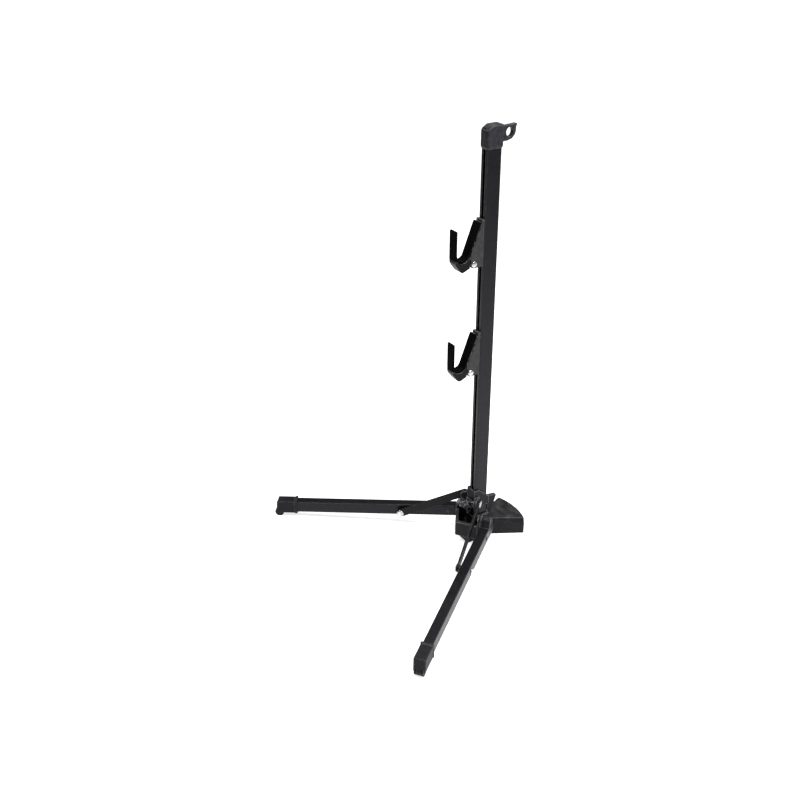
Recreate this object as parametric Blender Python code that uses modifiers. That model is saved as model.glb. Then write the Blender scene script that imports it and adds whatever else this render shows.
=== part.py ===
"""Folding floor stand: slotted upright, two sliding hooks, two braced legs and a foot plate.

Units are metres, +Z is up.  The origin is on the floor, on the axis of the upright.
The slot of the upright and the hooks face -Y; the foot plate lies towards +Y.
The stand is symmetric about the YZ plane.  Each leg has its own frame: its X axis runs
out along the leg, its Y axis runs along the hinge pin and its Z axis points up.
"""

import math

import bmesh
import bpy
from mathutils import Matrix, Vector

# ---------------------------------------------------------------- clearances
FIT = 0.0003            # gap between pieces that touch
SLIDE_FIT = 0.0004      # gap between pieces that slide on each other

# ---------------------------------------------------------------- upright
TOTAL_HEIGHT = 0.490
POST_WIDTH = 0.0108
POST_DEPTH = 0.0172
POST_WALL = 0.0015
POST_SLOT = 0.0040
POST_BOTTOM = 0.0135

# ---------------------------------------------------------------- top cap
CAP_PROUD = 0.0013
CAP_HEIGHT = 0.0240
CAP_ROOF = 0.0036
CAP_SKIRT_CHAMFER = 0.0011
CAP_SKIRT_HEIGHT = 0.0030
CAP_CROWN_ROUND = 0.0016
CAP_BROW_DROP = 0.0046
CAP_BROW_DEPTH = 0.0070
EYE_THICKNESS = 0.0044
EYE_REACH = 0.0184
EYE_HOLE_HALF_WIDTH = 0.0042
EYE_HOLE_HALF_HEIGHT = 0.0048
EYE_HOLE_SETBACK = 0.0088
EYE_HOLE_DEPTH = 0.0098

# ---------------------------------------------------------------- legs
LEG_SPREAD = math.radians(37.7)     # plan angle of each leg from -Y
LEG_OFFSET = 0.0169                 # leg centre line, sideways from the upright's axis
LEG_DROP = math.radians(2.65)       # fall of the open leg towards its foot
LEG_WIDTH = 0.0112
LEG_HEIGHT = 0.0141
LEG_WALL = 0.0014
LEG_SLOT = 0.0040
HINGE_REACH = 0.0183
HINGE_HEIGHT = 0.0350
HINGE_TO_LEG_TOP = 0.0041
LEG_START = 0.0085                  # where the channel starts, along the leg from its hinge
FOOT_CONTACT_REACH = 0.2447         # where the foot touches the floor, from the upright
HINGE_PIN_RADIUS = 0.0020
KNUCKLE_EYE_RADIUS = 0.0047

FOOT_LENGTH = 0.0283
FOOT_WALL = 0.0011
FOOT_LIP = 0.0005
FOOT_LIP_LENGTH = 0.0030
FOOT_PAST_LEG = 0.0050
FOOT_SLANT = 0.0038
FOOT_BULGE_RADIUS = 0.0055
FOOT_RIB_COUNT = 3
FOOT_RIB_GAP = 0.0008
FOOT_RIB_DEPTH = 0.0008

# ---------------------------------------------------------------- braces and collar
BRACE_REACH = 0.0933                # lower pivot, from the upright along the leg
BRACE_HEIGHT = 0.0186
BRACE_BAR_HEIGHT = 0.0095
BRACE_THICKNESS = 0.0020
BRACE_INNER_GAP = 0.0039            # leg side to brace, filled by a spacer
BRACE_PIN_RADIUS = 0.0017
RIVET_HEAD_RADIUS = 0.0044
RIVET_HEAD_HEIGHT = 0.0014
COLLAR_PIVOT_REACH = 0.0160
COLLAR_PIVOT_HEIGHT = 0.0545
COLLAR_BOTTOM = 0.0455
COLLAR_FLANGE_HEIGHT = 0.0078
COLLAR_WALL = 0.0016
COLLAR_FRONT_TOP = 0.0680
COLLAR_BACK_TOP = 0.0550
COLLAR_NOSE_REACH = 0.0131
COLLAR_LUG_THICKNESS = 0.0036
COLLAR_LUG_RADIUS = 0.0049
LATCH_FORWARD = 0.0180
LATCH_HEIGHT = 0.0496
LATCH_PIN_RADIUS = 0.0011
LATCH_NOSE_RADIUS = 0.0024
LATCH_NOSE_HALF = 0.0024
LATCH_HALF_WIDTH = 0.0052
LATCH_THUMB_REACH = 0.0055
LATCH_BEAK_DROP = 0.0062

# ---------------------------------------------------------------- hub and foot plate
HUB_BOTTOM = 0.0102
HUB_FLOOR_TOP = 0.0162
HUB_FRONT_TOP = 0.0294
HUB_FACE_REACH = 0.0261
HUB_WALL = 0.0032
HUB_CHEEK_THICKNESS = 0.0034
HUB_CHEEK_RADIUS = 0.0052
HUB_SOCKET_TOP = 0.0320
HUB_SOCKET_WALL = 0.0026
HUB_EDGE_ROUND = 0.0026
FIN_HALF = 0.0025
FIN_TOP = 0.0520
FIN_REACH = 0.0258
PLATE_RADIUS = 0.0687
PLATE_ARC_CENTRE = -0.0128
PLATE_HALF_WIDTH = 0.0285
PLATE_EDGE_ANGLE = math.radians(29)
PLATE_TOP_HEIGHT = 0.0240
PLATE_REAR_FALL = 0.07
PLATE_CHAMFER_HEIGHT = 0.0122        # lower border of the chamfered side, at the rear corner
PLATE_CHAMFER_HEADING = math.radians(-24.4)
PLATE_CHAMFER_TILT = math.radians(19.3)
PLATE_ROUND = 0.0014
PLATE_WALL = 0.0030
PLATE_TONGUE_FRONT = -0.0200
PLATE_TONGUE_HALF = 0.0098
PLATE_DECK = 0.0032
PLATE_BLOCK_FRONT = -0.0095
PLATE_SCREW_LINE = -0.0140
PLATE_SCREW_SPREAD = 0.0033
PLATE_RIB_HALF = 0.0009
SCREW_RADIUS = 0.0015
SCREW_HEAD_RADIUS = 0.0023
CROSS_PIN_HEIGHT = 0.0245

# ---------------------------------------------------------------- hooks
HOOK_HEIGHT_UPPER = 0.3510
HOOK_SPACING = 0.1250
HOOK_WIDTH = 0.0110
HOOK_PIVOT_FORWARD = 0.0205
HOOK_PIN_RADIUS = 0.0019
HOOK_HEAD_RADIUS = 0.0034
HOOK_STRIP = 0.0012
HOOK_PAD = 0.0022
HOOK_PRONG_THICKNESS = 0.0027
HOOK_MOUTH_FRONT = 0.0417
HOOK_PRONG_TOP = 0.0385
HOOK_THROAT_RADIUS = 0.0067
HOOK_THROAT_BOTTOM = 0.0058
HOOK_INNER_TOP = 0.0440
HOOK_INNER_SLOPE = 0.387
HOOK_LIP_REACH = 0.0440
HOOK_KEEL_REACH = 0.0354
HOOK_KEEL_DROP = 0.0067
BRACKET_TOP = 0.0455
BRACKET_BOTTOM = -0.0040
BRACKET_EAR = 0.0022
BRACKET_RIM = 0.0010
SLIDER_HEIGHT = 0.0300
SLIDER_THICKNESS = 0.0042
NECK_CLEARANCE = 0.0004

ROUND_SEGMENTS = 32
COLLECTION_NAME = "folding_hook_stand"
CUTTER_COLLECTION_NAME = "folding_hook_stand_cutters"


# ---------------------------------------------------------------- materials
def make_material(name, colour, roughness, metallic=0.0):
    """Return a Principled material."""
    material = bpy.data.materials.new(name)
    material.use_nodes = True
    shader = material.node_tree.nodes["Principled BSDF"]
    shader.inputs["Base Color"].default_value = (*colour, 1.0)
    shader.inputs["Roughness"].default_value = roughness
    shader.inputs["Metallic"].default_value = metallic
    return material


FINISHES = {
    "anodised": ((0.022, 0.023, 0.026), 0.38, 0.85),
    "moulding": ((0.036, 0.036, 0.039), 0.48, 0.0),
    "bracket": ((0.060, 0.061, 0.064), 0.42, 0.0),
    "rubber": ((0.008, 0.008, 0.008), 0.75, 0.0),
    "steel": ((0.70, 0.70, 0.71), 0.24, 1.0),
    "dark_steel": ((0.030, 0.030, 0.032), 0.35, 1.0),
}


# ---------------------------------------------------------------- outlines
def arc_points(centre, radius, start, end, count):
    """Points on an arc from angle start to angle end, both in radians."""
    points = []
    for index in range(count + 1):
        angle = start + (end - start) * index / count
        x = centre[0] + radius * math.cos(angle)
        y = centre[1] + radius * math.sin(angle)
        points.append((x, y))
    return points


def filleted(points, radius, segments=3):
    """Round every corner of a closed outline, as far as its sides allow."""
    rounded = []
    total = len(points)
    for index in range(total):
        corner = Vector(points[index])
        before = Vector(points[index - 1]) - corner
        after = Vector(points[(index + 1) % total]) - corner
        half = before.angle(after) / 2
        limit = min(before.length, after.length) * 0.45 * math.tan(half)
        size = min(radius, limit)
        if size < 1e-5 or half > math.radians(88):
            rounded.append(tuple(corner))
            continue
        setback = size / math.tan(half)
        first = corner + before.normalized() * setback
        last = corner + after.normalized() * setback
        bisector = (before.normalized() + after.normalized()).normalized()
        centre = corner + bisector * size / math.sin(half)
        start = first - centre
        end = last - centre
        sweep = start.angle_signed(end)
        for step in range(segments + 1):
            turned = start.copy()
            turned.rotate(Matrix.Rotation(-sweep * step / segments, 2))
            rounded.append(tuple(centre + turned))
    return rounded


def rectangle(x_low, x_high, y_low, y_high):
    """Corners of a rectangle, anticlockwise."""
    return [(x_low, y_low), (x_high, y_low), (x_high, y_high), (x_low, y_high)]


def channel_outline(width, depth, wall, slot, corner=0.0009):
    """A C-shaped section whose slot opens towards -Y."""
    half = width / 2
    back = depth / 2
    outer = filleted(rectangle(-half, half, -back, back), corner)
    inner = filleted(rectangle(-half + wall, half - wall, -back + wall, back - wall), corner * 0.5, 1)
    right_outer = [p for p in outer if p[0] > 0]
    left_outer = [p for p in outer if p[0] < 0]
    left_outer.sort(key=lambda p: math.atan2(p[1], p[0]) % math.tau)
    right_inner = [p for p in inner if p[0] > 0]
    left_inner = [p for p in inner if p[0] < 0]
    right_inner.sort(key=lambda p: -math.atan2(p[1], p[0]))
    left_inner.sort(key=lambda p: -(math.atan2(p[1], p[0]) % math.tau))
    points = [(slot / 2, -back)]
    points += sorted(right_outer, key=lambda p: math.atan2(p[1], p[0]))
    points += left_outer
    points += [(-slot / 2, -back), (-slot / 2, -back + wall)]
    points += left_inner
    points += right_inner
    points += [(slot / 2, -back + wall)]
    return points


def filleted_ends(points):
    """Drop points that fall on top of one another from an outline."""
    kept = []
    for point in points:
        if not kept or (Vector(point) - Vector(kept[-1])).length > 5e-5:
            kept.append(point)
    return kept


# ---------------------------------------------------------------- building blocks
class Builder:
    """Makes mesh objects and keeps them in the stand's collections."""

    def __init__(self):
        self.parts = bpy.data.collections.new(COLLECTION_NAME)
        self.cutters = bpy.data.collections.new(CUTTER_COLLECTION_NAME)
        bpy.context.scene.collection.children.link(self.parts)
        bpy.context.scene.collection.children.link(self.cutters)
        self.materials = {}
        for name, (colour, roughness, metallic) in FINISHES.items():
            self.materials[name] = (colour, roughness, metallic)

    def temporary(self, mesh, matrix=None):
        """Wrap a mesh in an object that becomes a part or a cutter later."""
        item = bpy.data.objects.new("temporary", mesh)
        self.cutters.objects.link(item)
        if matrix is not None:
            item.matrix_world = matrix
        return item

    def prism(self, outline, low, high, holes=()):
        """Extrude a flat outline from low to high along Z."""
        curve = bpy.data.curves.new("outline", "CURVE")
        curve.dimensions = "2D"
        curve.fill_mode = "BOTH"
        curve.extrude = (high - low) / 2
        for loop in (outline, *holes):
            spline = curve.splines.new("POLY")
            spline.points.add(len(loop) - 1)
            for point, (x, y) in zip(spline.points, loop):
                point.co = (x, y, 0, 1)
            spline.use_cyclic_u = True
        holder = self.temporary(curve)
        bpy.context.view_layer.update()
        graph = bpy.context.evaluated_depsgraph_get()
        mesh = bpy.data.meshes.new_from_object(holder.evaluated_get(graph))
        bpy.data.objects.remove(holder)
        bpy.data.curves.remove(curve)
        self.weld(mesh)
        mesh.transform(Matrix.Translation((0, 0, (low + high) / 2)))
        return self.temporary(mesh)

    def weld(self, mesh, distance=1e-6):
        """Merge what lies within a distance: loose caps of an extrusion, slivers of a join."""
        work = bmesh.new()
        work.from_mesh(mesh)
        bmesh.ops.remove_doubles(work, verts=work.verts, dist=distance)
        bmesh.ops.dissolve_limit(work, angle_limit=0.001, verts=work.verts, edges=work.edges)
        bmesh.ops.recalc_face_normals(work, faces=work.faces)
        work.to_mesh(mesh)
        work.free()

    def box(self, x_low, x_high, y_low, y_high, z_low, z_high):
        """A plain block."""
        work = bmesh.new()
        bmesh.ops.create_cube(work, size=1.0)
        size = Vector((x_high - x_low, y_high - y_low, z_high - z_low))
        middle = Vector((x_high + x_low, y_high + y_low, z_high + z_low)) / 2
        bmesh.ops.scale(work, vec=size, verts=work.verts)
        bmesh.ops.translate(work, vec=middle, verts=work.verts)
        mesh = bpy.data.meshes.new("block")
        work.to_mesh(mesh)
        work.free()
        return self.temporary(mesh)

    def turned(self, profile, segments=ROUND_SEGMENTS):
        """Revolve a profile of (radius, height) pairs, top to bottom, about Z."""
        mesh = bpy.data.meshes.new("profile")
        vertices = [(radius, 0, height) for radius, height in profile]
        edges = [(index, index + 1) for index in range(len(profile) - 1)]
        mesh.from_pydata(vertices, edges, [])
        item = self.temporary(mesh)
        screw = item.modifiers.new("turn", "SCREW")
        screw.steps = segments
        screw.render_steps = segments
        screw.use_merge_vertices = True
        screw.merge_threshold = 0.00001
        screw.use_smooth_shade = True
        self.bake(item)
        return item

    def cylinder(self, radius, low, high, segments=ROUND_SEGMENTS):
        """A plain cylinder along Z."""
        work = bmesh.new()
        bmesh.ops.create_cone(
            work, cap_ends=True, segments=segments, radius1=radius, radius2=radius, depth=high - low
        )
        bmesh.ops.translate(work, vec=(0, 0, (low + high) / 2), verts=work.verts)
        mesh = bpy.data.meshes.new("cylinder")
        work.to_mesh(mesh)
        work.free()
        return self.temporary(mesh)

    def bake(self, item):
        """Replace an object's mesh by its evaluated one, with no modifiers left."""
        bpy.context.view_layer.update()
        graph = bpy.context.evaluated_depsgraph_get()
        mesh = bpy.data.meshes.new_from_object(item.evaluated_get(graph))
        item.modifiers.clear()
        item.data = mesh
        return item

    def turn(self, item, matrix):
        """Move an object's mesh by a matrix; its origin stays where it is."""
        item.data.transform(matrix)
        item.data.update()
        return item

    def boolean(self, target, tool, operation):
        """Join, cut or intersect a target with a tool, which is used up."""
        modifier = target.modifiers.new(operation.lower(), "BOOLEAN")
        modifier.operation = operation
        modifier.solver = "EXACT"
        modifier.object = tool
        self.bake(target)
        bpy.data.objects.remove(tool)
        return target

    def join(self, target, *tools):
        """Join shapes into one body."""
        for tool in tools:
            self.boolean(target, tool, "UNION")
        return target

    def cut(self, target, *tools):
        """Take shapes away from a body."""
        for tool in tools:
            self.boolean(target, tool, "DIFFERENCE")
        return target

    def soften(self, item, width, segments=1, angle=50):
        """Bevel the sharp edges."""
        bevel = item.modifiers.new("soften", "BEVEL")
        bevel.width = width
        bevel.segments = segments
        bevel.limit_method = "ANGLE"
        bevel.angle_limit = math.radians(angle)
        bevel.use_clamp_overlap = True
        return item

    def soften_above(self, item, width, segments, height):
        """Bevel the sharp edges that lie wholly above a height."""
        return self.soften_where(item, width, segments, lambda low, high: low > height)

    def soften_below(self, item, width, segments, height):
        """Bevel the sharp edges that lie wholly below a height."""
        return self.soften_where(item, width, segments, lambda low, high: high < height)

    def soften_where(self, item, width, segments, wanted):
        """Bevel the edges whose lowest and highest Z pass the test and that are sharp."""
        work = bmesh.new()
        work.from_mesh(item.data)
        chosen = []
        for edge in work.edges:
            heights = [vertex.co.z for vertex in edge.verts]
            sharp = len(edge.link_faces) == 2 and edge.calc_face_angle() > math.radians(28)
            if sharp and wanted(min(heights), max(heights)):
                chosen.append(edge)
        bmesh.ops.bevel(
            work,
            geom=chosen,
            offset=width,
            segments=segments,
            profile=0.5,
            affect="EDGES",
            clamp_overlap=True,
        )
        work.to_mesh(item.data)
        work.free()
        return item

    def finish(self, item, name, finish, matrix=None):
        """Name a finished piece, place it and give it its own material."""
        item.name = name
        item.data.name = name
        self.cutters.objects.unlink(item)
        self.parts.objects.link(item)
        colour, roughness, metallic = self.materials[finish]
        item.data.materials.clear()
        item.data.materials.append(make_material(name, colour, roughness, metallic))
        if matrix is not None:
            item.matrix_world = matrix
        item.data.shade_smooth()
        item.data.set_sharp_from_angle(angle=math.radians(35))
        return item


# Side views are drawn in X and Z: this turns an outline's XY plane into the XZ plane, so
# that what was drawn along Y points up and the thickness runs along Y.
UPRIGHT_VIEW = Matrix.Rotation(math.radians(90), 4, "X")
# The hooks are drawn with forward as +X and up as +Y: this puts forward along -Y, up along +Z.
HOOK_VIEW = Matrix(((0, 0, -1, 0), (-1, 0, 0, 0), (0, 1, 0, 0), (0, 0, 0, 1)))
# The cap's eye is drawn with backward as +X and up as +Y.
EYE_VIEW = Matrix(((0, 0, 1, 0), (1, 0, 0, 0), (0, 1, 0, 0), (0, 0, 0, 1)))
# A channel made along Z is laid along X by this one, with its slot underneath.
CHANNEL_ALONG_X = Matrix(((0, 0, 1, 0), (1, 0, 0, 0), (0, 1, 0, 0), (0, 0, 0, 1)))
# A pin made along Z is laid along Y by this one, head towards +Y.
PIN_ALONG_Y = Matrix.Rotation(math.radians(-90), 4, "X")
# A pin made along Z is laid along X by this one, head towards +X.
PIN_ALONG_X = Matrix.Rotation(math.radians(90), 4, "Y")


# ---------------------------------------------------------------- frames of the legs
def leg_direction(side):
    """Unit vector out along the leg, in plan; side is +1 for right and -1 for left."""
    return Vector((side * math.sin(LEG_SPREAD), -math.cos(LEG_SPREAD), 0))


def leg_inward(side):
    """Unit vector across the leg, towards the other leg."""
    return Vector((-side * math.cos(LEG_SPREAD), -math.sin(LEG_SPREAD), 0))


def plan_point(side, reach, inward):
    """Plan position from the distances along the leg and inward of its centre line."""
    return leg_direction(side) * reach + leg_inward(side) * (inward - LEG_OFFSET)


def leg_matrix(side, reach, height, drop=0.0):
    """A frame on the leg's centre plane: X out and down by drop, Y across, Z up."""
    place = plan_point(side, reach, 0.0)
    place.z = height
    direction = leg_direction(side)
    heading = math.atan2(direction.y, direction.x)
    turn = Matrix.Rotation(heading, 4, "Z") @ Matrix.Rotation(drop, 4, "Y")
    return Matrix.Translation(place) @ turn


def brace_drop():
    """Angle of the brace below the horizontal, from the collar down to the leg."""
    fall = COLLAR_PIVOT_HEIGHT - BRACE_HEIGHT
    return math.atan2(fall, BRACE_REACH - COLLAR_PIVOT_REACH)


def brace_length():
    """Distance between the brace's two pivots."""
    return math.hypot(BRACE_REACH - COLLAR_PIVOT_REACH, COLLAR_PIVOT_HEIGHT - BRACE_HEIGHT)


def brace_faces():
    """Inward distances of the brace's two faces from the leg's centre plane."""
    near = LEG_WIDTH / 2 + BRACE_INNER_GAP
    return near, near + BRACE_THICKNESS


def leg_end():
    """Where the channel ends, along the leg from its hinge."""
    return foot_end() - FOOT_PAST_LEG


def foot_end():
    """The outer end of the rubber foot, along the leg from its hinge."""
    return bulge_centre()[0] + FOOT_BULGE_RADIUS


def leg_floor():
    """The leg's underside in its own frame."""
    return -HINGE_TO_LEG_TOP - LEG_HEIGHT


def brace_pivot_in_leg():
    """The brace's lower pivot in the leg's own frame."""
    along = BRACE_REACH - HINGE_REACH
    up = BRACE_HEIGHT - HINGE_HEIGHT
    x = along * math.cos(LEG_DROP) - up * math.sin(LEG_DROP)
    z = along * math.sin(LEG_DROP) + up * math.cos(LEG_DROP)
    return x, z


def across(side, inward):
    """Leg-frame Y of a distance inward of the leg's centre plane."""
    return -side * inward


def side_plate(build, outline, side, inward_low, inward_high, holes=()):
    """A plate drawn in side view, between two inward distances from the leg's centre plane."""
    first = -across(side, inward_low)
    last = -across(side, inward_high)
    plate = build.prism(outline, min(first, last), max(first, last), holes)
    return build.turn(plate, UPRIGHT_VIEW)


def rivet(build, shank_radius, start, end, head_radius, head_height, tail_radius=None):
    """A rivet along Z: shank from start to end, a domed head past end and a flat tail."""
    profile = [(0, end + head_height)]
    for step in range(1, 5):
        angle = math.radians(90 - 22.5 * step)
        radius = head_radius * math.cos(angle)
        profile.append((radius, end + head_height * (0.25 + 0.75 * math.sin(angle))))
    profile.append((head_radius, end))
    profile.append((shank_radius, end))
    profile.append((shank_radius, start))
    if tail_radius is not None:
        profile.append((tail_radius, start))
        profile.append((tail_radius * 0.85, start - head_height * 0.6))
        profile.append((0, start - head_height * 0.6))
    else:
        profile.append((0, start))
    return build.turned(profile, 24)


# ---------------------------------------------------------------- upright and cap
def build_upright(build):
    """The slotted upright."""
    outline = channel_outline(POST_WIDTH, POST_DEPTH, POST_WALL, POST_SLOT)
    top = TOTAL_HEIGHT - CAP_ROOF - FIT
    post = build.prism(outline, POST_BOTTOM, top)
    build.finish(post, "upright_channel", "anodised")


def eye_outline():
    """The hanging eye in side view: X towards the back, Y up from the floor."""
    root = POST_DEPTH / 2
    back = POST_DEPTH / 2 + CAP_PROUD + EYE_REACH
    top = TOTAL_HEIGHT - 0.0022
    low = TOTAL_HEIGHT - EYE_HOLE_DEPTH - EYE_HOLE_HALF_HEIGHT - 0.0036
    points = [
        (root, low),
        (back - 0.0115, low),
        (back - 0.0058, low + 0.0016),
        (back - 0.0022, low + 0.0050),
        (back - 0.0011, low + 0.0086),
        (back - 0.0010, low + 0.0130),
        (back + 0.0006, top),
        (back - 0.0045, top - 0.0004),
        (root, top - 0.0010),
    ]
    return filleted(points, 0.0006, 2)


def eye_centre():
    """Centre of the eye's hole, back from the axis and up from the floor."""
    back = POST_DEPTH / 2 + CAP_PROUD + EYE_REACH
    return back - EYE_HOLE_SETBACK, TOTAL_HEIGHT - EYE_HOLE_DEPTH


def build_cap(build):
    """The moulded top cap with its hanging eye."""
    half_x = POST_WIDTH / 2 + CAP_PROUD
    half_y = POST_DEPTH / 2 + CAP_PROUD
    bottom = TOTAL_HEIGHT - CAP_HEIGHT
    outline = filleted(rectangle(-half_x, half_x, -half_y, half_y), 0.0022, 4)
    step = CAP_SKIRT_CHAMFER
    lower = filleted(rectangle(-half_x + step, half_x - step, -half_y + step, half_y - step), 0.0016, 4)
    skirt = bottom + CAP_SKIRT_HEIGHT
    cap = loft(build, [(lower, bottom), (outline, skirt), (outline, TOTAL_HEIGHT)])
    brow = [
        (half_y - CAP_BROW_DEPTH, TOTAL_HEIGHT),
        (half_y + CAP_BROW_DEPTH, TOTAL_HEIGHT - 2 * CAP_BROW_DROP),
        (half_y + CAP_BROW_DEPTH, TOTAL_HEIGHT + CAP_BROW_DROP),
        (half_y - CAP_BROW_DEPTH, TOTAL_HEIGHT + CAP_BROW_DROP),
    ]
    build.cut(cap, build.turn(build.prism(brow, -POST_WIDTH, POST_WIDTH), HOOK_VIEW))
    build.soften_above(cap, CAP_CROWN_ROUND, 3, skirt + CAP_CROWN_ROUND)
    centre = eye_centre()
    hole = []
    for index in range(20):
        angle = math.tau * index / 20
        x = centre[0] + EYE_HOLE_HALF_WIDTH * math.cos(angle)
        y = centre[1] + EYE_HOLE_HALF_HEIGHT * math.sin(angle)
        hole.append((x, y))
    eye = build.prism(eye_outline(), -EYE_THICKNESS / 2, EYE_THICKNESS / 2, [hole])
    build.turn(eye, EYE_VIEW)
    build.join(cap, eye)
    pocket = filleted(
        rectangle(
            -POST_WIDTH / 2 - FIT, POST_WIDTH / 2 + FIT, -POST_DEPTH / 2 - FIT, POST_DEPTH / 2 + FIT
        ),
        0.0008,
        2,
    )
    build.cut(cap, build.prism(pocket, bottom - 0.01, TOTAL_HEIGHT - CAP_ROOF))
    build.finish(cap, "top_cap", "moulding")


def loft(build, rings):
    """A solid through outlines of equal point count, each given with its height, lowest first."""
    work = bmesh.new()
    loops = [[work.verts.new((x, y, height)) for x, y in outline] for outline, height in rings]
    work.faces.new(list(reversed(loops[0])))
    work.faces.new(loops[-1])
    total = len(loops[0])
    for low, high in zip(loops, loops[1:]):
        for index in range(total):
            after = (index + 1) % total
            work.faces.new((low[index], low[after], high[after], high[index]))
    bmesh.ops.recalc_face_normals(work, faces=work.faces)
    mesh = bpy.data.meshes.new("loft")
    work.to_mesh(mesh)
    work.free()
    return build.temporary(mesh)


# ---------------------------------------------------------------- hub and foot plate
def both_sides(points):
    """Complete a half outline, drawn on the +X side, with its mirror image."""
    return points + [(-x, y) for x, y in reversed(points) if abs(x) > 1e-6]


def cheek_faces():
    """Inward distances of the hub cheek's two faces."""
    near = LEG_WIDTH / 2 + FIT
    return near, near + HUB_CHEEK_THICKNESS


def hub_plan(reach, inward_end, nose_cut=0.0):
    """Half outline of the hub in front of the upright, with faces square to the legs."""
    nose = reach / math.cos(LEG_SPREAD) - nose_cut
    outer = plan_point(1, reach, inward_end)
    rear = plan_point(1, 0.004, inward_end)
    return [(0, -nose), (outer.x, outer.y), (rear.x, rear.y)]


def cheek_outline():
    """Side view of a hub cheek: a wall with a round head about the hinge pin."""
    head = arc_points((0, 0), HUB_CHEEK_RADIUS, math.radians(15), math.radians(165), 10)
    low = HUB_BOTTOM - HINGE_HEIGHT + 0.001
    front = HUB_FACE_REACH - HINGE_REACH
    shoulder = HUB_FRONT_TOP - HINGE_HEIGHT + 0.002
    back = -HINGE_REACH + 0.004
    return [(back, low), (front, low), (front, shoulder), *head, (back, shoulder - 0.001)]


def build_hub(build):
    """The moulded hub: floor, cheeks, front walls and the socket of the upright."""
    near, far = cheek_faces()
    rear_y = POST_DEPTH / 2 + HUB_SOCKET_WALL
    slab = both_sides([*hub_plan(HUB_FACE_REACH, -0.003, 0.0012), (0.0105, rear_y)])
    hub = build.prism(filleted(slab, 0.0012, 2), HUB_BOTTOM, HUB_FLOOR_TOP)
    build.soften_below(hub, HUB_EDGE_ROUND, 3, HUB_BOTTOM + 0.0001)

    front = both_sides(hub_plan(HUB_FACE_REACH, far - 0.0002, 0.0012))
    inner = both_sides(hub_plan(HUB_FACE_REACH - HUB_WALL, far - 0.0002, 0.0012))
    walls = build.prism(filleted(front, 0.0012, 2), HUB_BOTTOM + 0.002, HUB_FRONT_TOP)
    pocket = build.prism(inner, HUB_FLOOR_TOP - 0.001, HUB_FRONT_TOP + 0.01)
    build.cut(walls, pocket)
    build.join(hub, walls)

    half_x = POST_WIDTH / 2 + HUB_SOCKET_WALL
    socket = build.prism(
        filleted(rectangle(-half_x, half_x, -rear_y, rear_y), 0.0015, 3), HUB_BOTTOM + 0.001, HUB_SOCKET_TOP
    )
    build.join(hub, socket)
    build.join(hub, build_fin(build, rear_y))
    for side in (-1, 1):
        cheek = side_plate(build, cheek_outline(), side, near, far)
        cheek.matrix_world = leg_matrix(side, HINGE_REACH, HINGE_HEIGHT)
        build.join(hub, cheek)

    fit_x = POST_WIDTH / 2 + FIT
    fit_y = POST_DEPTH / 2 + FIT
    bore = build.prism(
        filleted(rectangle(-fit_x, fit_x, -fit_y, fit_y), 0.0008, 2), POST_BOTTOM - FIT, HUB_SOCKET_TOP + 0.01
    )
    build.cut(hub, bore)
    for side in (-1, 1):
        pin_hole = build.cylinder(HINGE_PIN_RADIUS + FIT, -far - 0.002, -near + 0.002)
        if side > 0:
            build.turn(pin_hole, PIN_ALONG_Y)
        else:
            build.turn(pin_hole, PIN_ALONG_Y.inverted())
        pin_hole.matrix_world = leg_matrix(side, HINGE_REACH, HINGE_HEIGHT)
        build.cut(hub, pin_hole)
    for x in screw_places():
        hole = build.cylinder(SCREW_RADIUS + FIT, HUB_BOTTOM - 0.001, HUB_FLOOR_TOP - 0.0012, 16)
        hole.location = (x, PLATE_SCREW_LINE, 0)
        build.cut(hub, hole)
    cross = build.cylinder(SCREW_RADIUS + FIT, -half_x - 0.002, half_x + 0.002, 16)
    build.turn(cross, PIN_ALONG_X)
    cross.location = (0, 0, CROSS_PIN_HEIGHT)
    build.cut(hub, cross)
    build.finish(hub, "hub_body", "moulding")


def build_fin(build, rear_y):
    """The upright fin behind the socket; its front stays clear of the sliding collar."""
    front = POST_DEPTH / 2 + SLIDE_FIT + COLLAR_WALL + 4 * FIT
    root = rear_y - FIT
    low = PLATE_TOP_HEIGHT - FIT
    outline = [
        (root, low),
        (root + 0.0044, low),
        (root + 0.0080, low + 0.0065),
        (FIN_REACH, FIN_TOP - 0.0020),
        (front, FIN_TOP),
        (front, HUB_SOCKET_TOP + 0.0010),
        (root, HUB_SOCKET_TOP - 0.0010),
    ]
    fin = build.prism(filleted(outline, 0.0012, 2), -FIN_HALF, FIN_HALF)
    build.turn(fin, EYE_VIEW)
    build.soften(fin, 0.0006, 1, 50)
    return build.bake(fin)


def screw_places():
    """Sideways places of the two screws that hold the foot plate under the hub."""
    return (-PLATE_SCREW_SPREAD, PLATE_SCREW_SPREAD)


def plate_top(y):
    """Height of the foot plate's top, which falls towards the rear."""
    return PLATE_TOP_HEIGHT - PLATE_REAR_FALL * y


def plate_outline(inset=0.0):
    """Plan of the foot plate behind the hub: two straight edges and the rear arc."""
    radius = PLATE_RADIUS - inset
    half = PLATE_HALF_WIDTH - inset
    corner_y = PLATE_ARC_CENTRE + math.sqrt(radius ** 2 - half ** 2)
    start = math.asin(half / radius)
    arc = []
    for index in range(15):
        angle = start - 2 * start * index / 14
        arc.append((radius * math.sin(angle), PLATE_ARC_CENTRE + radius * math.cos(angle)))
    front = POST_DEPTH / 2 + HUB_SOCKET_WALL + FIT + inset
    neck = half - (corner_y - front) * math.tan(PLATE_EDGE_ANGLE)
    return [(-neck, front), (neck, front), *arc]


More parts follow.
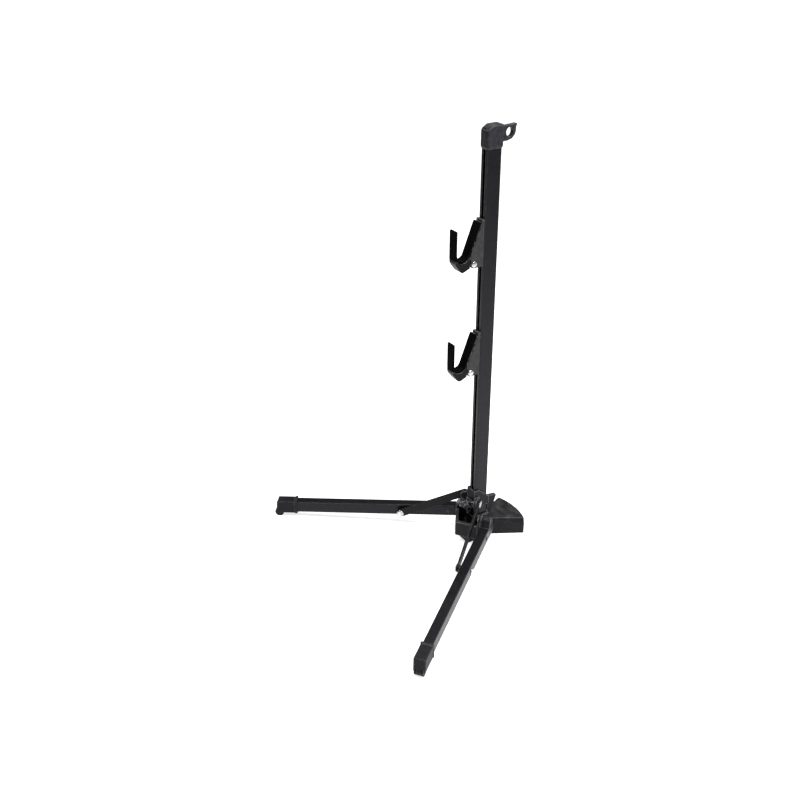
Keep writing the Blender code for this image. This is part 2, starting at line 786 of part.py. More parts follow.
def plate_solid(build, inset, low):
    """The foot plate's outer shape, or its hollow when inset by the wall, from low upwards."""
    solid = build.prism(plate_outline(inset), low, 2 * PLATE_TOP_HEIGHT)
    reach = 2 * PLATE_RADIUS
    above = build.box(-reach, reach, -reach, reach, PLATE_TOP_HEIGHT - inset, 3 * PLATE_TOP_HEIGHT)
    for vertex in above.data.vertices:
        vertex.co.z -= PLATE_REAR_FALL * vertex.co.y
    build.cut(solid, above)
    corner_y = PLATE_ARC_CENTRE + math.sqrt(PLATE_RADIUS ** 2 - PLATE_HALF_WIDTH ** 2)
    for side in (-1, 1):
        heading = PLATE_CHAMFER_HEADING if side > 0 else math.pi - PLATE_CHAMFER_HEADING
        turn = Matrix.Rotation(heading, 4, "Z") @ Matrix.Rotation(-PLATE_CHAMFER_TILT, 4, "Y")
        beyond = build.box(-inset, reach, -reach, reach, -reach, reach)
        build.turn(beyond, turn)
        build.turn(beyond, Matrix.Translation((side * PLATE_HALF_WIDTH, corner_y, PLATE_CHAMFER_HEIGHT)))
        build.cut(solid, beyond)
    return solid


def build_foot_plate(build):
    """The fan-shaped foot plate: a shell with rounded edges and chamfered sides, open below."""
    plate = plate_solid(build, 0.0, -PLATE_WALL)
    build.soften(plate, PLATE_ROUND, 3, 25)
    build.bake(plate)
    build.cut(plate, plate_solid(build, PLATE_WALL, -2 * PLATE_WALL))
    rib_start = POST_DEPTH / 2 + HUB_SOCKET_WALL + PLATE_WALL / 2
    rib_end = PLATE_RADIUS + PLATE_ARC_CENTRE - PLATE_WALL / 2
    rib_top = PLATE_TOP_HEIGHT - PLATE_WALL / 2
    rib = build.box(-PLATE_RIB_HALF, PLATE_RIB_HALF, rib_start, rib_end, PLATE_WALL / 2, rib_top)
    for vertex in rib.data.vertices:
        if vertex.co.z > PLATE_WALL:
            vertex.co.z -= PLATE_REAR_FALL * vertex.co.y
    build.join(plate, rib)
    deck_top = HUB_BOTTOM - FIT
    half = PLATE_TONGUE_HALF
    rear = rib_start + PLATE_WALL / 4
    tongue = build.box(-half, half, PLATE_TONGUE_FRONT, rear, -PLATE_WALL, deck_top)
    build.soften(tongue, PLATE_ROUND / 2, 2, 50)
    build.bake(tongue)
    half -= PLATE_WALL
    front = PLATE_TONGUE_FRONT + PLATE_WALL
    pocket = build.box(-half, half, front, PLATE_BLOCK_FRONT, -2 * PLATE_WALL, deck_top - PLATE_DECK)
    build.cut(tongue, pocket)
    build.join(plate, tongue)
    reach = 2 * PLATE_RADIUS
    build.cut(plate, build.box(-reach, reach, -reach, reach, -3 * PLATE_WALL, 0.0))
    for x in screw_places():
        hole = build.cylinder(SCREW_RADIUS + FIT, -0.002, deck_top + 0.002, 16)
        hole.location = (x, PLATE_SCREW_LINE, 0)
        build.cut(plate, hole)
    build.finish(plate, "foot_plate", "moulding")


def build_hub_fasteners(build):
    """The two screws under the foot plate and the pin across the upright."""
    under = HUB_BOTTOM - FIT - PLATE_DECK - FIT
    for name, x in zip(("left", "right"), screw_places()):
        profile = [
            (0, HUB_FLOOR_TOP - 0.0016),
            (SCREW_RADIUS, HUB_FLOOR_TOP - 0.0016),
            (SCREW_RADIUS, under),
            (SCREW_HEAD_RADIUS, under),
            (SCREW_HEAD_RADIUS, under - 0.0012),
            (SCREW_HEAD_RADIUS * 0.7, under - 0.0018),
            (0, under - 0.0018),
        ]
        screw = build.turned(profile, 20)
        build.finish(screw, f"plate_screw_{name}", "dark_steel", Matrix.Translation((x, PLATE_SCREW_LINE, 0)))
    half = POST_WIDTH / 2 + HUB_SOCKET_WALL - FIT
    pin = build.cylinder(SCREW_RADIUS, -half, half, 20)
    build.turn(pin, PIN_ALONG_X)
    build.finish(pin, "upright_cross_pin", "dark_steel", Matrix.Translation((0, 0, CROSS_PIN_HEIGHT)))


def drill_upright(build):
    """The cross pin's hole through the upright."""
    post = bpy.data.objects["upright_channel"]
    hole = build.cylinder(SCREW_RADIUS + FIT, -POST_WIDTH, POST_WIDTH, 16)
    build.turn(hole, PIN_ALONG_X)
    hole.location = (0, 0, CROSS_PIN_HEIGHT)
    build.cut(post, hole)


# ---------------------------------------------------------------- legs
def knuckle_outline():
    """Side view of the moulded leg end: a plug in the channel with an eye round the hinge."""
    top = -HINGE_TO_LEG_TOP
    floor = leg_floor()
    swing = -floor - 0.0002
    heel = arc_points((0, 0), swing, math.radians(238), math.radians(266), 5)
    eye = arc_points((0, 0), KNUCKLE_EYE_RADIUS, math.radians(20), math.radians(185), 10)
    shoulder = LEG_START - FIT
    return [*heel, (shoulder, floor), (shoulder, top), *eye]


def plug_outline():
    """Side view of the part of the knuckle that fills the channel."""
    top = -HINGE_TO_LEG_TOP - LEG_WALL - FIT
    floor = leg_floor() + LEG_WALL + FIT
    start = LEG_START - 0.002
    return filleted(rectangle(start, LEG_START + 0.016, floor, top), 0.0006, 1)


def build_leg(build, side, label):
    """One leg: channel, knuckle, rubber foot and the rivet through channel and knuckle."""
    frame = leg_matrix(side, HINGE_REACH, HINGE_HEIGHT, LEG_DROP)
    section = channel_outline(LEG_WIDTH, LEG_HEIGHT, LEG_WALL, LEG_SLOT)
    channel = build.prism(section, LEG_START, leg_end())
    middle = Matrix.Translation((0, 0, -HINGE_TO_LEG_TOP - LEG_HEIGHT / 2))
    build.turn(channel, middle @ CHANNEL_ALONG_X)
    pivot = brace_pivot_in_leg()
    bore = build.cylinder(BRACE_PIN_RADIUS + FIT, -LEG_WIDTH, LEG_WIDTH, 16)
    build.turn(bore, Matrix.Translation((pivot[0], 0, pivot[1])) @ PIN_ALONG_Y)
    build.cut(channel, bore)
    rivet_place = (LEG_START + 0.009, 0, -HINGE_TO_LEG_TOP - LEG_HEIGHT / 2)
    cross = build.cylinder(SCREW_RADIUS + FIT, -LEG_WIDTH, LEG_WIDTH, 16)
    build.turn(cross, Matrix.Translation(rivet_place) @ PIN_ALONG_Y)
    build.cut(channel, cross)
    build.finish(channel, f"leg_channel_{label}", "anodised", frame)

    half = LEG_WIDTH / 2
    knuckle = side_plate(build, knuckle_outline(), side, -half, half)
    plug_half = half - LEG_WALL - FIT
    plug = side_plate(build, plug_outline(), side, -plug_half, plug_half)
    build.join(knuckle, plug)
    for place, radius in (((0, 0, 0), HINGE_PIN_RADIUS), (rivet_place, SCREW_RADIUS)):
        hole = build.cylinder(radius + FIT, -LEG_WIDTH, LEG_WIDTH, 20)
        build.turn(hole, Matrix.Translation(place) @ PIN_ALONG_Y)
        build.cut(knuckle, hole)
    build.finish(knuckle, f"leg_knuckle_{label}", "moulding", frame)

    outer = half + FIT
    fixing = rivet(build, SCREW_RADIUS, -outer, outer, 0.0026, 0.0007, 0.0026)
    build.turn(fixing, Matrix.Translation(rivet_place) @ PIN_ALONG_Y)
    build.finish(fixing, f"knuckle_rivet_{label}", "dark_steel", frame)
    build_foot(build, side, label, frame)


def foot_outline():
    """Side view of the rubber foot's sleeve, with its slanted end."""
    top = -HINGE_TO_LEG_TOP + FOOT_WALL
    floor = leg_floor() - FOOT_WALL
    end = foot_end()
    start = end - FOOT_LENGTH
    tip = end - 2 * FOOT_WALL
    step = floor + FOOT_BULGE_RADIUS / 2
    return [(start, floor), (tip, floor), (tip, step), (end - FOOT_SLANT, top), (start, top)]


def bulge_centre():
    """Centre of the foot's round bulge in the leg's frame, so that it just meets the floor."""
    along = (FOOT_CONTACT_REACH - HINGE_REACH)
    up = FOOT_BULGE_RADIUS - HINGE_HEIGHT
    x = along * math.cos(LEG_DROP) - up * math.sin(LEG_DROP)
    z = along * math.sin(LEG_DROP) + up * math.cos(LEG_DROP)
    return x, z


def ribbed_profile(half):
    """Profile of the foot's ribbed round, from half down to -half."""
    pitch = 2 * half / FOOT_RIB_COUNT
    valley = FOOT_BULGE_RADIUS - FOOT_RIB_DEPTH
    profile = [(0, half), (FOOT_BULGE_RADIUS, half)]
    for index in range(1, FOOT_RIB_COUNT):
        height = half - pitch * index
        profile.append((FOOT_BULGE_RADIUS, height + FOOT_RIB_GAP / 2))
        profile.append((valley, height + FOOT_RIB_GAP / 2))
        profile.append((valley, height - FOOT_RIB_GAP / 2))
        profile.append((FOOT_BULGE_RADIUS, height - FOOT_RIB_GAP / 2))
    return [*profile, (FOOT_BULGE_RADIUS, -half), (0, -half)]


def build_foot(build, side, label, frame):
    """The rubber foot: a sleeve pushed over the channel's end, with ribbed rounds that touch the floor."""
    half = LEG_WIDTH / 2 + FOOT_WALL
    foot = side_plate(build, foot_outline(), side, -half, half)
    start = foot_end() - FOOT_LENGTH
    top = -HINGE_TO_LEG_TOP + FOOT_WALL
    floor = leg_floor() - FOOT_WALL
    build.soften(foot, 0.0010, 2, 50)
    build.bake(foot)
    lip = build.box(
        start,
        start + FOOT_LIP_LENGTH,
        -half - FOOT_LIP,
        half + FOOT_LIP,
        floor - FOOT_LIP,
        top + FOOT_LIP,
    )
    build.soften(lip, FOOT_LIP, 1, 60)
    build.bake(lip)
    build.join(foot, lip)
    centre = bulge_centre()
    bulge = build.turned(ribbed_profile(LEG_WIDTH / 2 - FOOT_LIP))
    build.turn(bulge, Matrix.Translation((centre[0], 0, centre[1])) @ PIN_ALONG_Y)
    build.join(foot, bulge)
    build.weld(foot.data, 5e-5)
    wide = LEG_WIDTH / 2 + FIT
    tall = LEG_HEIGHT / 2 + FIT
    socket = filleted(rectangle(-wide, wide, -tall, tall), 0.0007, 2)
    hollow = build.prism(socket, start - 0.01, leg_end() + FIT)
    middle = Matrix.Translation((0, 0, -HINGE_TO_LEG_TOP - LEG_HEIGHT / 2))
    build.turn(hollow, middle @ CHANNEL_ALONG_X)
    build.cut(foot, hollow)
    build.finish(foot, f"leg_foot_{label}", "rubber", frame)


def build_hinge_pin(build, side, label):
    """The hinge pin, with its bright head in the hub's pocket."""
    near, far = cheek_faces()
    outer = LEG_WIDTH / 2 - FIT
    pin = rivet(build, HINGE_PIN_RADIUS, -outer, far + FIT, 0.0036, 0.0012)
    lay = PIN_ALONG_Y if side < 0 else PIN_ALONG_Y.inverted()
    build.turn(pin, lay)
    frame = leg_matrix(side, HINGE_REACH, HINGE_HEIGHT)
    build.finish(pin, f"leg_hinge_pin_{label}", "steel", frame)


# ---------------------------------------------------------------- braces and collar
def build_brace(build, side, label):
    """One flat brace, its spacer and its two rivets."""
    near, far = brace_faces()
    length = brace_length()
    radius = BRACE_BAR_HEIGHT / 2
    outline = arc_points((0, 0), radius, math.radians(-90), math.radians(90), 8)
    outline += arc_points((-length, 0), radius, math.radians(90), math.radians(270), 8)
    holes = []
    for x in (0, -length):
        holes.append(arc_points((x, 0), BRACE_PIN_RADIUS + FIT, 0, math.tau * 15 / 16, 15))
    brace = side_plate(build, outline, side, near, far, holes)
    frame = leg_matrix(side, BRACE_REACH, BRACE_HEIGHT, brace_drop())
    build.finish(brace, f"brace_{label}", "anodised", frame)

    half = LEG_WIDTH / 2
    spacer_profile = [
        (0.0036, near - FIT),
        (0.0036, half + FIT),
        (BRACE_PIN_RADIUS + FIT, half + FIT),
        (BRACE_PIN_RADIUS + FIT, near - FIT),
        (0.0036, near - FIT),
    ]
    spacer = build.turned(spacer_profile, 24)
    lay = PIN_ALONG_Y if side < 0 else PIN_ALONG_Y.inverted()
    build.turn(spacer, lay)
    leg_frame = leg_matrix(side, BRACE_REACH, BRACE_HEIGHT, LEG_DROP)
    build.finish(spacer, f"brace_spacer_{label}", "dark_steel", leg_frame)

    lower = rivet(
        build, BRACE_PIN_RADIUS, -half - FIT, far + FIT, RIVET_HEAD_RADIUS, RIVET_HEAD_HEIGHT, 0.0034
    )
    build.turn(lower, lay)
    build.finish(lower, f"brace_lower_rivet_{label}", "steel", leg_frame)

    stub_end = far + SLIDE_FIT * 2
    upper = rivet(
        build, BRACE_PIN_RADIUS, -stub_end, -near + FIT, RIVET_HEAD_RADIUS, RIVET_HEAD_HEIGHT
    )
    build.turn(upper, lay.inverted())
    upper_frame = leg_matrix(side, COLLAR_PIVOT_REACH, COLLAR_PIVOT_HEIGHT, brace_drop())
    build.finish(upper, f"brace_upper_rivet_{label}", "steel", upper_frame)


def build_collar(build):
    """The sliding collar: a sleeve with a sloping top, a pointed nose and two brace lugs."""
    half_x = POST_WIDTH / 2 + SLIDE_FIT + COLLAR_WALL
    half_y = POST_DEPTH / 2 + SLIDE_FIT + COLLAR_WALL
    side_view = [
        (-half_y, COLLAR_BOTTOM),
        (half_y, COLLAR_BOTTOM),
        (half_y, COLLAR_FRONT_TOP),
        (half_y * 0.35, COLLAR_FRONT_TOP),
        (-half_y, COLLAR_BACK_TOP),
    ]
    collar = build.prism(filleted(side_view, 0.0008, 2), -half_x, half_x)
    build.turn(collar, HOOK_VIEW)
    lug_near = brace_faces()[1] + SLIDE_FIT * 4
    lug_far = lug_near + COLLAR_LUG_THICKNESS
    nose = COLLAR_NOSE_REACH / math.cos(LEG_SPREAD)
    shoulder = plan_point(1, COLLAR_NOSE_REACH, lug_near + 0.0004)
    back = plan_point(1, 0.001, lug_near + 0.0004)
    flange_outline = both_sides([(0, -nose), (shoulder.x, shoulder.y), (back.x, back.y)])
    flange = build.prism(
        filleted(flange_outline, 0.0010, 2), COLLAR_BOTTOM, COLLAR_BOTTOM + COLLAR_FLANGE_HEIGHT
    )
    build.join(collar, flange)
    for side in (-1, 1):
        lug_outline = arc_points((0, 0), COLLAR_LUG_RADIUS, math.radians(-75), math.radians(95), 9)
        root = -COLLAR_PIVOT_REACH + 0.006
        low = COLLAR_BOTTOM - COLLAR_PIVOT_HEIGHT + 0.001
        lug_outline += [(root, COLLAR_LUG_RADIUS), (root, low), (-0.002, low)]
        lug = side_plate(build, lug_outline, side, lug_near, lug_far)
        lug.matrix_world = leg_matrix(side, COLLAR_PIVOT_REACH, COLLAR_PIVOT_HEIGHT)
        build.join(collar, lug)
    build.join(collar, latch_nose(build))
    bore = build.prism(
        filleted(
            rectangle(
                -POST_WIDTH / 2 - SLIDE_FIT,
                POST_WIDTH / 2 + SLIDE_FIT,
                -POST_DEPTH / 2 - SLIDE_FIT,
                POST_DEPTH / 2 + SLIDE_FIT,
            ),
            0.0007,
            2,
        ),
        COLLAR_BOTTOM - 0.01,
        COLLAR_FRONT_TOP + 0.01,
    )
    build.cut(collar, bore)
    build.cut(collar, latch_bore(build))
    build.finish(collar, "collar", "moulding")


def latch_nose(build):
    """The nose on the collar that the latch lever turns on."""
    root = LATCH_FORWARD - 0.0040
    radius = LATCH_NOSE_RADIUS
    outline = arc_points((LATCH_FORWARD, LATCH_HEIGHT), radius, math.radians(-90), math.radians(90), 10)
    outline += [(root, LATCH_HEIGHT + radius), (root, LATCH_HEIGHT - radius)]
    nose = build.prism(outline, -LATCH_NOSE_HALF, LATCH_NOSE_HALF)
    return build.turn(nose, HOOK_VIEW)


def latch_bore(build):
    """The latch pin's hole."""
    bore = build.cylinder(LATCH_PIN_RADIUS + FIT, -LATCH_HALF_WIDTH * 2, LATCH_HALF_WIDTH * 2, 16)
    return build.turn(bore, Matrix.Translation((0, -LATCH_FORWARD, LATCH_HEIGHT)) @ PIN_ALONG_X)


def build_latch(build):
    """The sprung latch lever: two cheeks astride the collar's nose, a thumb bar and a beak."""
    radius = LATCH_NOSE_RADIUS + FIT
    reach = LATCH_THUMB_REACH
    outline = [
        *arc_points((0, 0), radius, math.radians(90), math.radians(255), 8),
        (-0.0006, 0.0008 - LATCH_BEAK_DROP),
        (0.0004, -LATCH_BEAK_DROP),
        (0.0018, 0.0014 - LATCH_BEAK_DROP),
        (radius, -radius),
        (reach - 0.0012, -radius * 0.85),
        (reach, -radius * 0.3),
        (reach - 0.0002, radius * 0.6),
        (reach - 0.0012, radius),
    ]
    lever = build.prism(outline, -LATCH_HALF_WIDTH, LATCH_HALF_WIDTH)
    slot = rectangle(-0.01, LATCH_NOSE_RADIUS + SLIDE_FIT, -LATCH_NOSE_RADIUS - SLIDE_FIT, 0.01)
    slot_half = LATCH_NOSE_HALF + FIT
    build.soften(lever, 0.0005, 1, 60)
    build.bake(lever)
    build.cut(lever, build.prism(slot, -slot_half, slot_half))
    build.turn(lever, HOOK_VIEW)
    place = Matrix.Translation((0, -LATCH_FORWARD, LATCH_HEIGHT))
    bore = build.cylinder(LATCH_PIN_RADIUS + FIT, -LATCH_HALF_WIDTH * 2, LATCH_HALF_WIDTH * 2, 16)
    build.cut(lever, build.turn(bore, PIN_ALONG_X))
    build.finish(lever, "latch_lever", "moulding", place)
    pin = build.cylinder(LATCH_PIN_RADIUS, -LATCH_HALF_WIDTH, LATCH_HALF_WIDTH, 20)
    build.turn(pin, PIN_ALONG_X)
    build.soften(pin, 0.0002, 1, 60)
    build.finish(pin, "latch_pin", "dark_steel", place)


# ---------------------------------------------------------------- hooks
def throat_centre():
    """Centre of the rounded bottom of the hook's V."""
    return HOOK_MOUTH_FRONT - HOOK_THROAT_RADIUS, HOOK_THROAT_BOTTOM + HOOK_THROAT_RADIUS


def throat_end_angle():
    """Angle at which the rounded bottom runs into the slanted inner prong."""
    return -math.pi + math.atan(HOOK_INNER_SLOPE)


def pad_inner_outline():
    """The inside of the rubber-lined V, from the front prong's top to the inner prong's top."""
    centre = throat_centre()
    bottom = arc_points(centre, HOOK_THROAT_RADIUS, 0.0, throat_end_angle(), 9)
    last = bottom[-1]
    inner_x = last[0] - HOOK_INNER_SLOPE * (HOOK_INNER_TOP - last[1])
    return [(HOOK_MOUTH_FRONT, HOOK_PRONG_TOP), *bottom, (inner_x, HOOK_INNER_TOP)]


def offset_line(points, distance):
    """Shift an open line sideways, to its right-hand side for a positive distance."""
    shifted = []
    for index, point in enumerate(points):
        before = Vector(points[max(index - 1, 0)])
        after = Vector(points[min(index + 1, len(points) - 1)])
        first = Vector(point) - before if index > 0 else after - Vector(point)
        second = after - Vector(point) if index < len(points) - 1 else first
        normal_one = Vector((first.y, -first.x)).normalized()
        normal_two = Vector((second.y, -second.x)).normalized()
        blend = (normal_one + normal_two).normalized()
        reach = distance / max(blend.dot(normal_one), 0.5)
        shifted.append((point[0] + blend.x * reach, point[1] + blend.y * reach))
    return shifted


def build_hook(build, label, height):
    """One hook set: slide block, bracket, pivoted metal arm, rubber pad and pivot rivet."""
    pivot_frame = Matrix.Translation((0, -HOOK_PIVOT_FORWARD, height))
    slide_frame = Matrix.Translation((0, 0, height))
    half = HOOK_WIDTH / 2

    inside = pad_inner_outline()
    seat = -HOOK_PAD - FIT
    prong_front = HOOK_MOUTH_FRONT + HOOK_PRONG_THICKNESS
    ledge = HOOK_THROAT_BOTTOM + 0.0012
    bed = [p for p in offset_line(inside, -HOOK_PAD)[1:] if p[1] > ledge or p[0] < throat_centre()[0]]
    bed = [p for p in bed if p[0] < HOOK_MOUTH_FRONT]
    pad_outline = [(prong_front, HOOK_PRONG_TOP), *inside, *reversed(bed), (prong_front, ledge)]
    pad = build.prism(filleted_ends(pad_outline), -half, half)
    build.turn(pad, Matrix.Translation((0, HOOK_PIVOT_FORWARD, 0)) @ HOOK_VIEW)
    build.soften(pad, 0.0004, 1, 60)
    build.finish(pad, f"hook_pad_{label}", "rubber", pivot_frame)

    strip_face = [p for p in offset_line(inside, seat)[1:] if p[0] < HOOK_MOUTH_FRONT and p[1] > -0.01]
    strip_face = [p for p in strip_face if p[1] < ledge - FIT or p[0] < throat_centre()[0]]
    strip_back = offset_line(inside, seat - HOOK_STRIP)
    back_top = strip_back[-1]
    back_low = strip_back[-2]
    keel = (HOOK_KEEL_REACH, -HOOK_KEEL_DROP)
    body = [
        *strip_face,
        back_top,
        back_low,
        (HOOK_PIVOT_FORWARD + 0.0052, HOOK_HEAD_RADIUS * 0.6),
        (HOOK_PIVOT_FORWARD + 0.0052, -HOOK_HEAD_RADIUS),
        (keel[0] - 0.0075, keel[1] + 0.0023),
        (keel[0] - 0.0022, keel[1] + 0.0002),
        keel,
        (keel[0] + 0.0022, keel[1] + 0.0016),
        (HOOK_LIP_REACH - 0.0018, ledge - 0.0058),
        (HOOK_LIP_REACH, ledge - 0.0024),
        (HOOK_LIP_REACH, ledge - FIT),
    ]
    arm = build.prism(body, -half, half)
    eye_radius = HOOK_HEAD_RADIUS
    eye = arc_points((HOOK_PIVOT_FORWARD, 0), eye_radius, math.radians(110), math.radians(270), 8)
    link = [
        *eye,
        (HOOK_PIVOT_FORWARD + 0.0065, -HOOK_HEAD_RADIUS),
        (HOOK_PIVOT_FORWARD + 0.0065, HOOK_HEAD_RADIUS * 0.5),
    ]
    web_half = half - BRACKET_EAR - SLIDE_FIT
    build.join(arm, build.prism(link, -web_half, web_half))
    build.turn(arm, Matrix.Translation((0, HOOK_PIVOT_FORWARD, 0)) @ HOOK_VIEW)
    bore = build.cylinder(HOOK_PIN_RADIUS + FIT, -half, half, 20)
    build.turn(bore, PIN_ALONG_X)
    build.cut(arm, bore)
    build.finish(arm, f"hook_arm_{label}", "bracket", pivot_frame)

    build_bracket(build, label, slide_frame, strip_back, web_half)
    outer = half + FIT
    pin = rivet(build, HOOK_PIN_RADIUS, -outer, outer, HOOK_HEAD_RADIUS, 0.0010, HOOK_HEAD_RADIUS)
    build.turn(pin, PIN_ALONG_X)
    build.finish(pin, f"hook_rivet_{label}", "steel", pivot_frame)


def build_bracket(build, label, frame, strip_back, web_half):
    """The wedge bracket on the slotted face, and the block that runs inside the channel."""
    half = HOOK_WIDTH / 2
    face = POST_DEPTH / 2 + SLIDE_FIT
    top_point = strip_back[-1]
    run = strip_back[-2]
    direction = (Vector(top_point) - Vector(run)).normalized()
    gap = FIT + 0.0001
    lower_front = Vector(top_point) - direction * (top_point[1] - 0.0090) / direction.y
    shift = Vector((-direction.y, direction.x)) * gap
    upper = Vector(top_point) + shift
    lower = lower_front + shift
    ear = arc_points(
        (HOOK_PIVOT_FORWARD, 0), HOOK_HEAD_RADIUS + BRACKET_RIM, math.radians(30), math.radians(-90), 8
    )
    outline = [
        (face, BRACKET_TOP),
        (upper.x + 0.0004, BRACKET_TOP),
        (upper.x, upper.y),
        (lower.x, lower.y),
        *ear,
        (face, BRACKET_BOTTOM),
    ]
    bracket = build.prism(outline, -half, half)
    clear_radius = HOOK_HEAD_RADIUS + SLIDE_FIT
    swing = [
        (HOOK_PIVOT_FORWARD - clear_radius, 0),
        *arc_points((HOOK_PIVOT_FORWARD, 0), clear_radius, math.pi, math.radians(95), 5),
        (HOOK_PIVOT_FORWARD + 0.004, clear_radius + 0.004),
        (HOOK_PIVOT_FORWARD + 0.02, 0.004),
        (HOOK_PIVOT_FORWARD + 0.02, -0.02),
        (HOOK_PIVOT_FORWARD - clear_radius, -0.02),
    ]
    slot_half = web_half + SLIDE_FIT
    build.cut(bracket, build.prism(swing, -slot_half, slot_half))
    build.turn(bracket, HOOK_VIEW)
    bore = build.cylinder(HOOK_PIN_RADIUS + FIT, -HOOK_WIDTH, HOOK_WIDTH, 20)
    build.turn(bore, Matrix.Translation((0, -HOOK_PIVOT_FORWARD, 0)) @ PIN_ALONG_X)
    build.cut(bracket, bore)
    build.soften(bracket, 0.0004, 1, 60)
    build.bake(bracket)

    neck_half = POST_SLOT / 2 - NECK_CLEARANCE
    middle = (BRACKET_TOP + BRACKET_BOTTOM) / 2
    low = middle - SLIDER_HEIGHT / 2
    high = middle + SLIDER_HEIGHT / 2
    back_of_lips = POST_DEPTH / 2 - POST_WALL - SLIDE_FIT
    neck = build.box(-neck_half, neck_half, -face - 0.001, -back_of_lips + 0.0002, low, high)
    build.join(bracket, neck)
    build.finish(bracket, f"hook_bracket_{label}", "bracket", frame)

    inner_half = POST_WIDTH / 2 - POST_WALL - SLIDE_FIT
    block = build.box(
        -inner_half,
        inner_half,
        -back_of_lips + 0.0002 + FIT,
        -back_of_lips + 0.0002 + FIT + SLIDER_THICKNESS,
        low,
        high,
    )
    build.soften(block, 0.0005, 1, 60)
    build.finish(block, f"hook_slide_block_{label}", "dark_steel", frame)


# ---------------------------------------------------------------- assembly
def clear_scene():
    """Remove what the scene holds."""
    for item in list(bpy.data.objects):
        bpy.data.objects.remove(item, do_unlink=True)


def hide_cutters(build):
    """Mark what is left among the cutters as not part of the model."""
    for item in build.cutters.objects:
        item.hide_render = True
        item.display_type = "WIRE"


def main():
    """Build the whole stand."""
    clear_scene()
    build = Builder()
    build_upright(build)
    drill_upright(build)
    build_cap(build)
    build_hub(build)
    build_foot_plate(build)
    build_hub_fasteners(build)
    build_collar(build)
    build_latch(build)
    for side, label in ((-1, "left"), (1, "right")):
        build_leg(build, side, label)
        build_hinge_pin(build, side, label)
        build_brace(build, side, label)
    build_hook(build, "upper", HOOK_HEIGHT_UPPER)
    build_hook(build, "lower", HOOK_HEIGHT_UPPER - HOOK_SPACING)
    hide_cutters(build)


main()
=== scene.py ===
"""Looks of the folding hook stand: finishes, small surface pieces, studio and camera."""

import logging
import math
from dataclasses import dataclass, field
from enum import Enum

import bmesh
import bpy
from mathutils import Matrix, Vector


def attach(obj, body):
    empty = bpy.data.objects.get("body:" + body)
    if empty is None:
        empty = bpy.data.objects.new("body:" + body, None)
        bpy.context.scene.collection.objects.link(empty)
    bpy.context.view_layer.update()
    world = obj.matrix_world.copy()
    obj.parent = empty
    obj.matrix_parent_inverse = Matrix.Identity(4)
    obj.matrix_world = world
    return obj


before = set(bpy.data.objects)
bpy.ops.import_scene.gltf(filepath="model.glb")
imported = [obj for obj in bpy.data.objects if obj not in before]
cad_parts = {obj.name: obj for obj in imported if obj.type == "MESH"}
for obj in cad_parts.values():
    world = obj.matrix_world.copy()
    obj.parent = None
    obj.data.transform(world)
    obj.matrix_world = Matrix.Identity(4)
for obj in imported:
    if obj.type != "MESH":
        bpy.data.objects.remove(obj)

log = logging.getLogger("stand")

Colour = tuple[float, float, float]
Point = tuple[float, float, float]
Limits = tuple[float, float]
Tree = bpy.types.NodeTree
Socket = bpy.types.NodeSocket

BLACK: Colour = (0.0, 0.0, 0.0)
WHITE: Colour = (1.0, 1.0, 1.0)
COOL: Colour = (0.93, 0.92, 1.0)
HOOK_HEIGHTS = {"upper": 0.351, "lower": 0.226}


# ------------------------------------------------------------------ shader nodes
class Group(Enum):
    """Names of the shared shader effects."""

    GRAIN = "surface grain"
    # Edge group: paler edges that are partly real worn rub and partly a painted highlight.
    EDGE = "edge rub and painted highlight"
    # Upward-face group: a real dusty layer plus painted top light, and uneven tone.
    DUST_AND_TOP_LIGHT = "settled dust"
    BRUSH = "drawn lines"


@dataclass(frozen=True)
class Cloud:
    """A noise pattern and the values that it is stretched between.

    Args:
        scale: the noise's scale, per metre.
        detail: number of octaves.
        roughness: how strong the finer octaves are.
        limits: the values that become 0 and 1.
    """

    scale: float
    detail: float
    roughness: float = 0.5
    limits: Limits = (0.0, 1.0)


def new_group(name: Group, inputs: dict[str, float | Colour], outputs: dict[str, str]) -> Tree:
    """Start a shader group with named sockets.

    Args:
        name: which effect the group holds.
        inputs: socket name to its default; a colour makes a colour socket.
        outputs: socket name to its type, such as NodeSocketFloat.

    Returns:
        The new node tree, with its group input and output nodes made.
    """
    tree = bpy.data.node_groups.new(name.value, "ShaderNodeTree")
    for label, default in inputs.items():
        kind = "NodeSocketColor" if isinstance(default, tuple) else "NodeSocketFloat"
        socket = tree.interface.new_socket(name=label, in_out="INPUT", socket_type=kind)
        socket.default_value = (*default, 1.0) if isinstance(default, tuple) else default
    for label, kind in outputs.items():
        tree.interface.new_socket(name=label, in_out="OUTPUT", socket_type=kind)
    tree.nodes.new("NodeGroupInput").name = "in"
    tree.nodes.new("NodeGroupOutput").name = "out"
    return tree


def noise(tree: Tree, cloud: Cloud) -> Socket:
    """Add a noise texture on Object coordinates.

    Args:
        tree: the tree to add to.
        cloud: the noise pattern.

    Returns:
        The noise's value, before any stretching.
    """
    place = tree.nodes.new("ShaderNodeTexCoord")
    return noise_at(tree, cloud, place.outputs["Object"])


def noise_at(tree: Tree, cloud: Cloud, place: Socket) -> Socket:
    """Add a noise texture on given coordinates.

    Args:
        tree: the tree to add to.
        cloud: the noise pattern.
        place: the coordinates' socket.

    Returns:
        The noise's value, before any stretching.
    """
    node = tree.nodes.new("ShaderNodeTexNoise")
    node.inputs["Scale"].default_value = cloud.scale
    node.inputs["Detail"].default_value = cloud.detail
    node.inputs["Roughness"].default_value = cloud.roughness
    tree.links.new(place, node.inputs["Vector"])
    return node.outputs["Fac"]


def spread(tree: Tree, value: Socket, limits: Limits) -> Socket:
    """Stretch a value between two limits to 0..1.

    Args:
        tree: the tree to add to.
        value: the socket to read.
        limits: the values that become 0 and 1.

    Returns:
        The stretched value's socket.
    """
    node = tree.nodes.new("ShaderNodeMapRange")
    node.inputs["From Min"].default_value, node.inputs["From Max"].default_value = limits
    tree.links.new(value, node.inputs["Value"])
    return node.outputs["Result"]


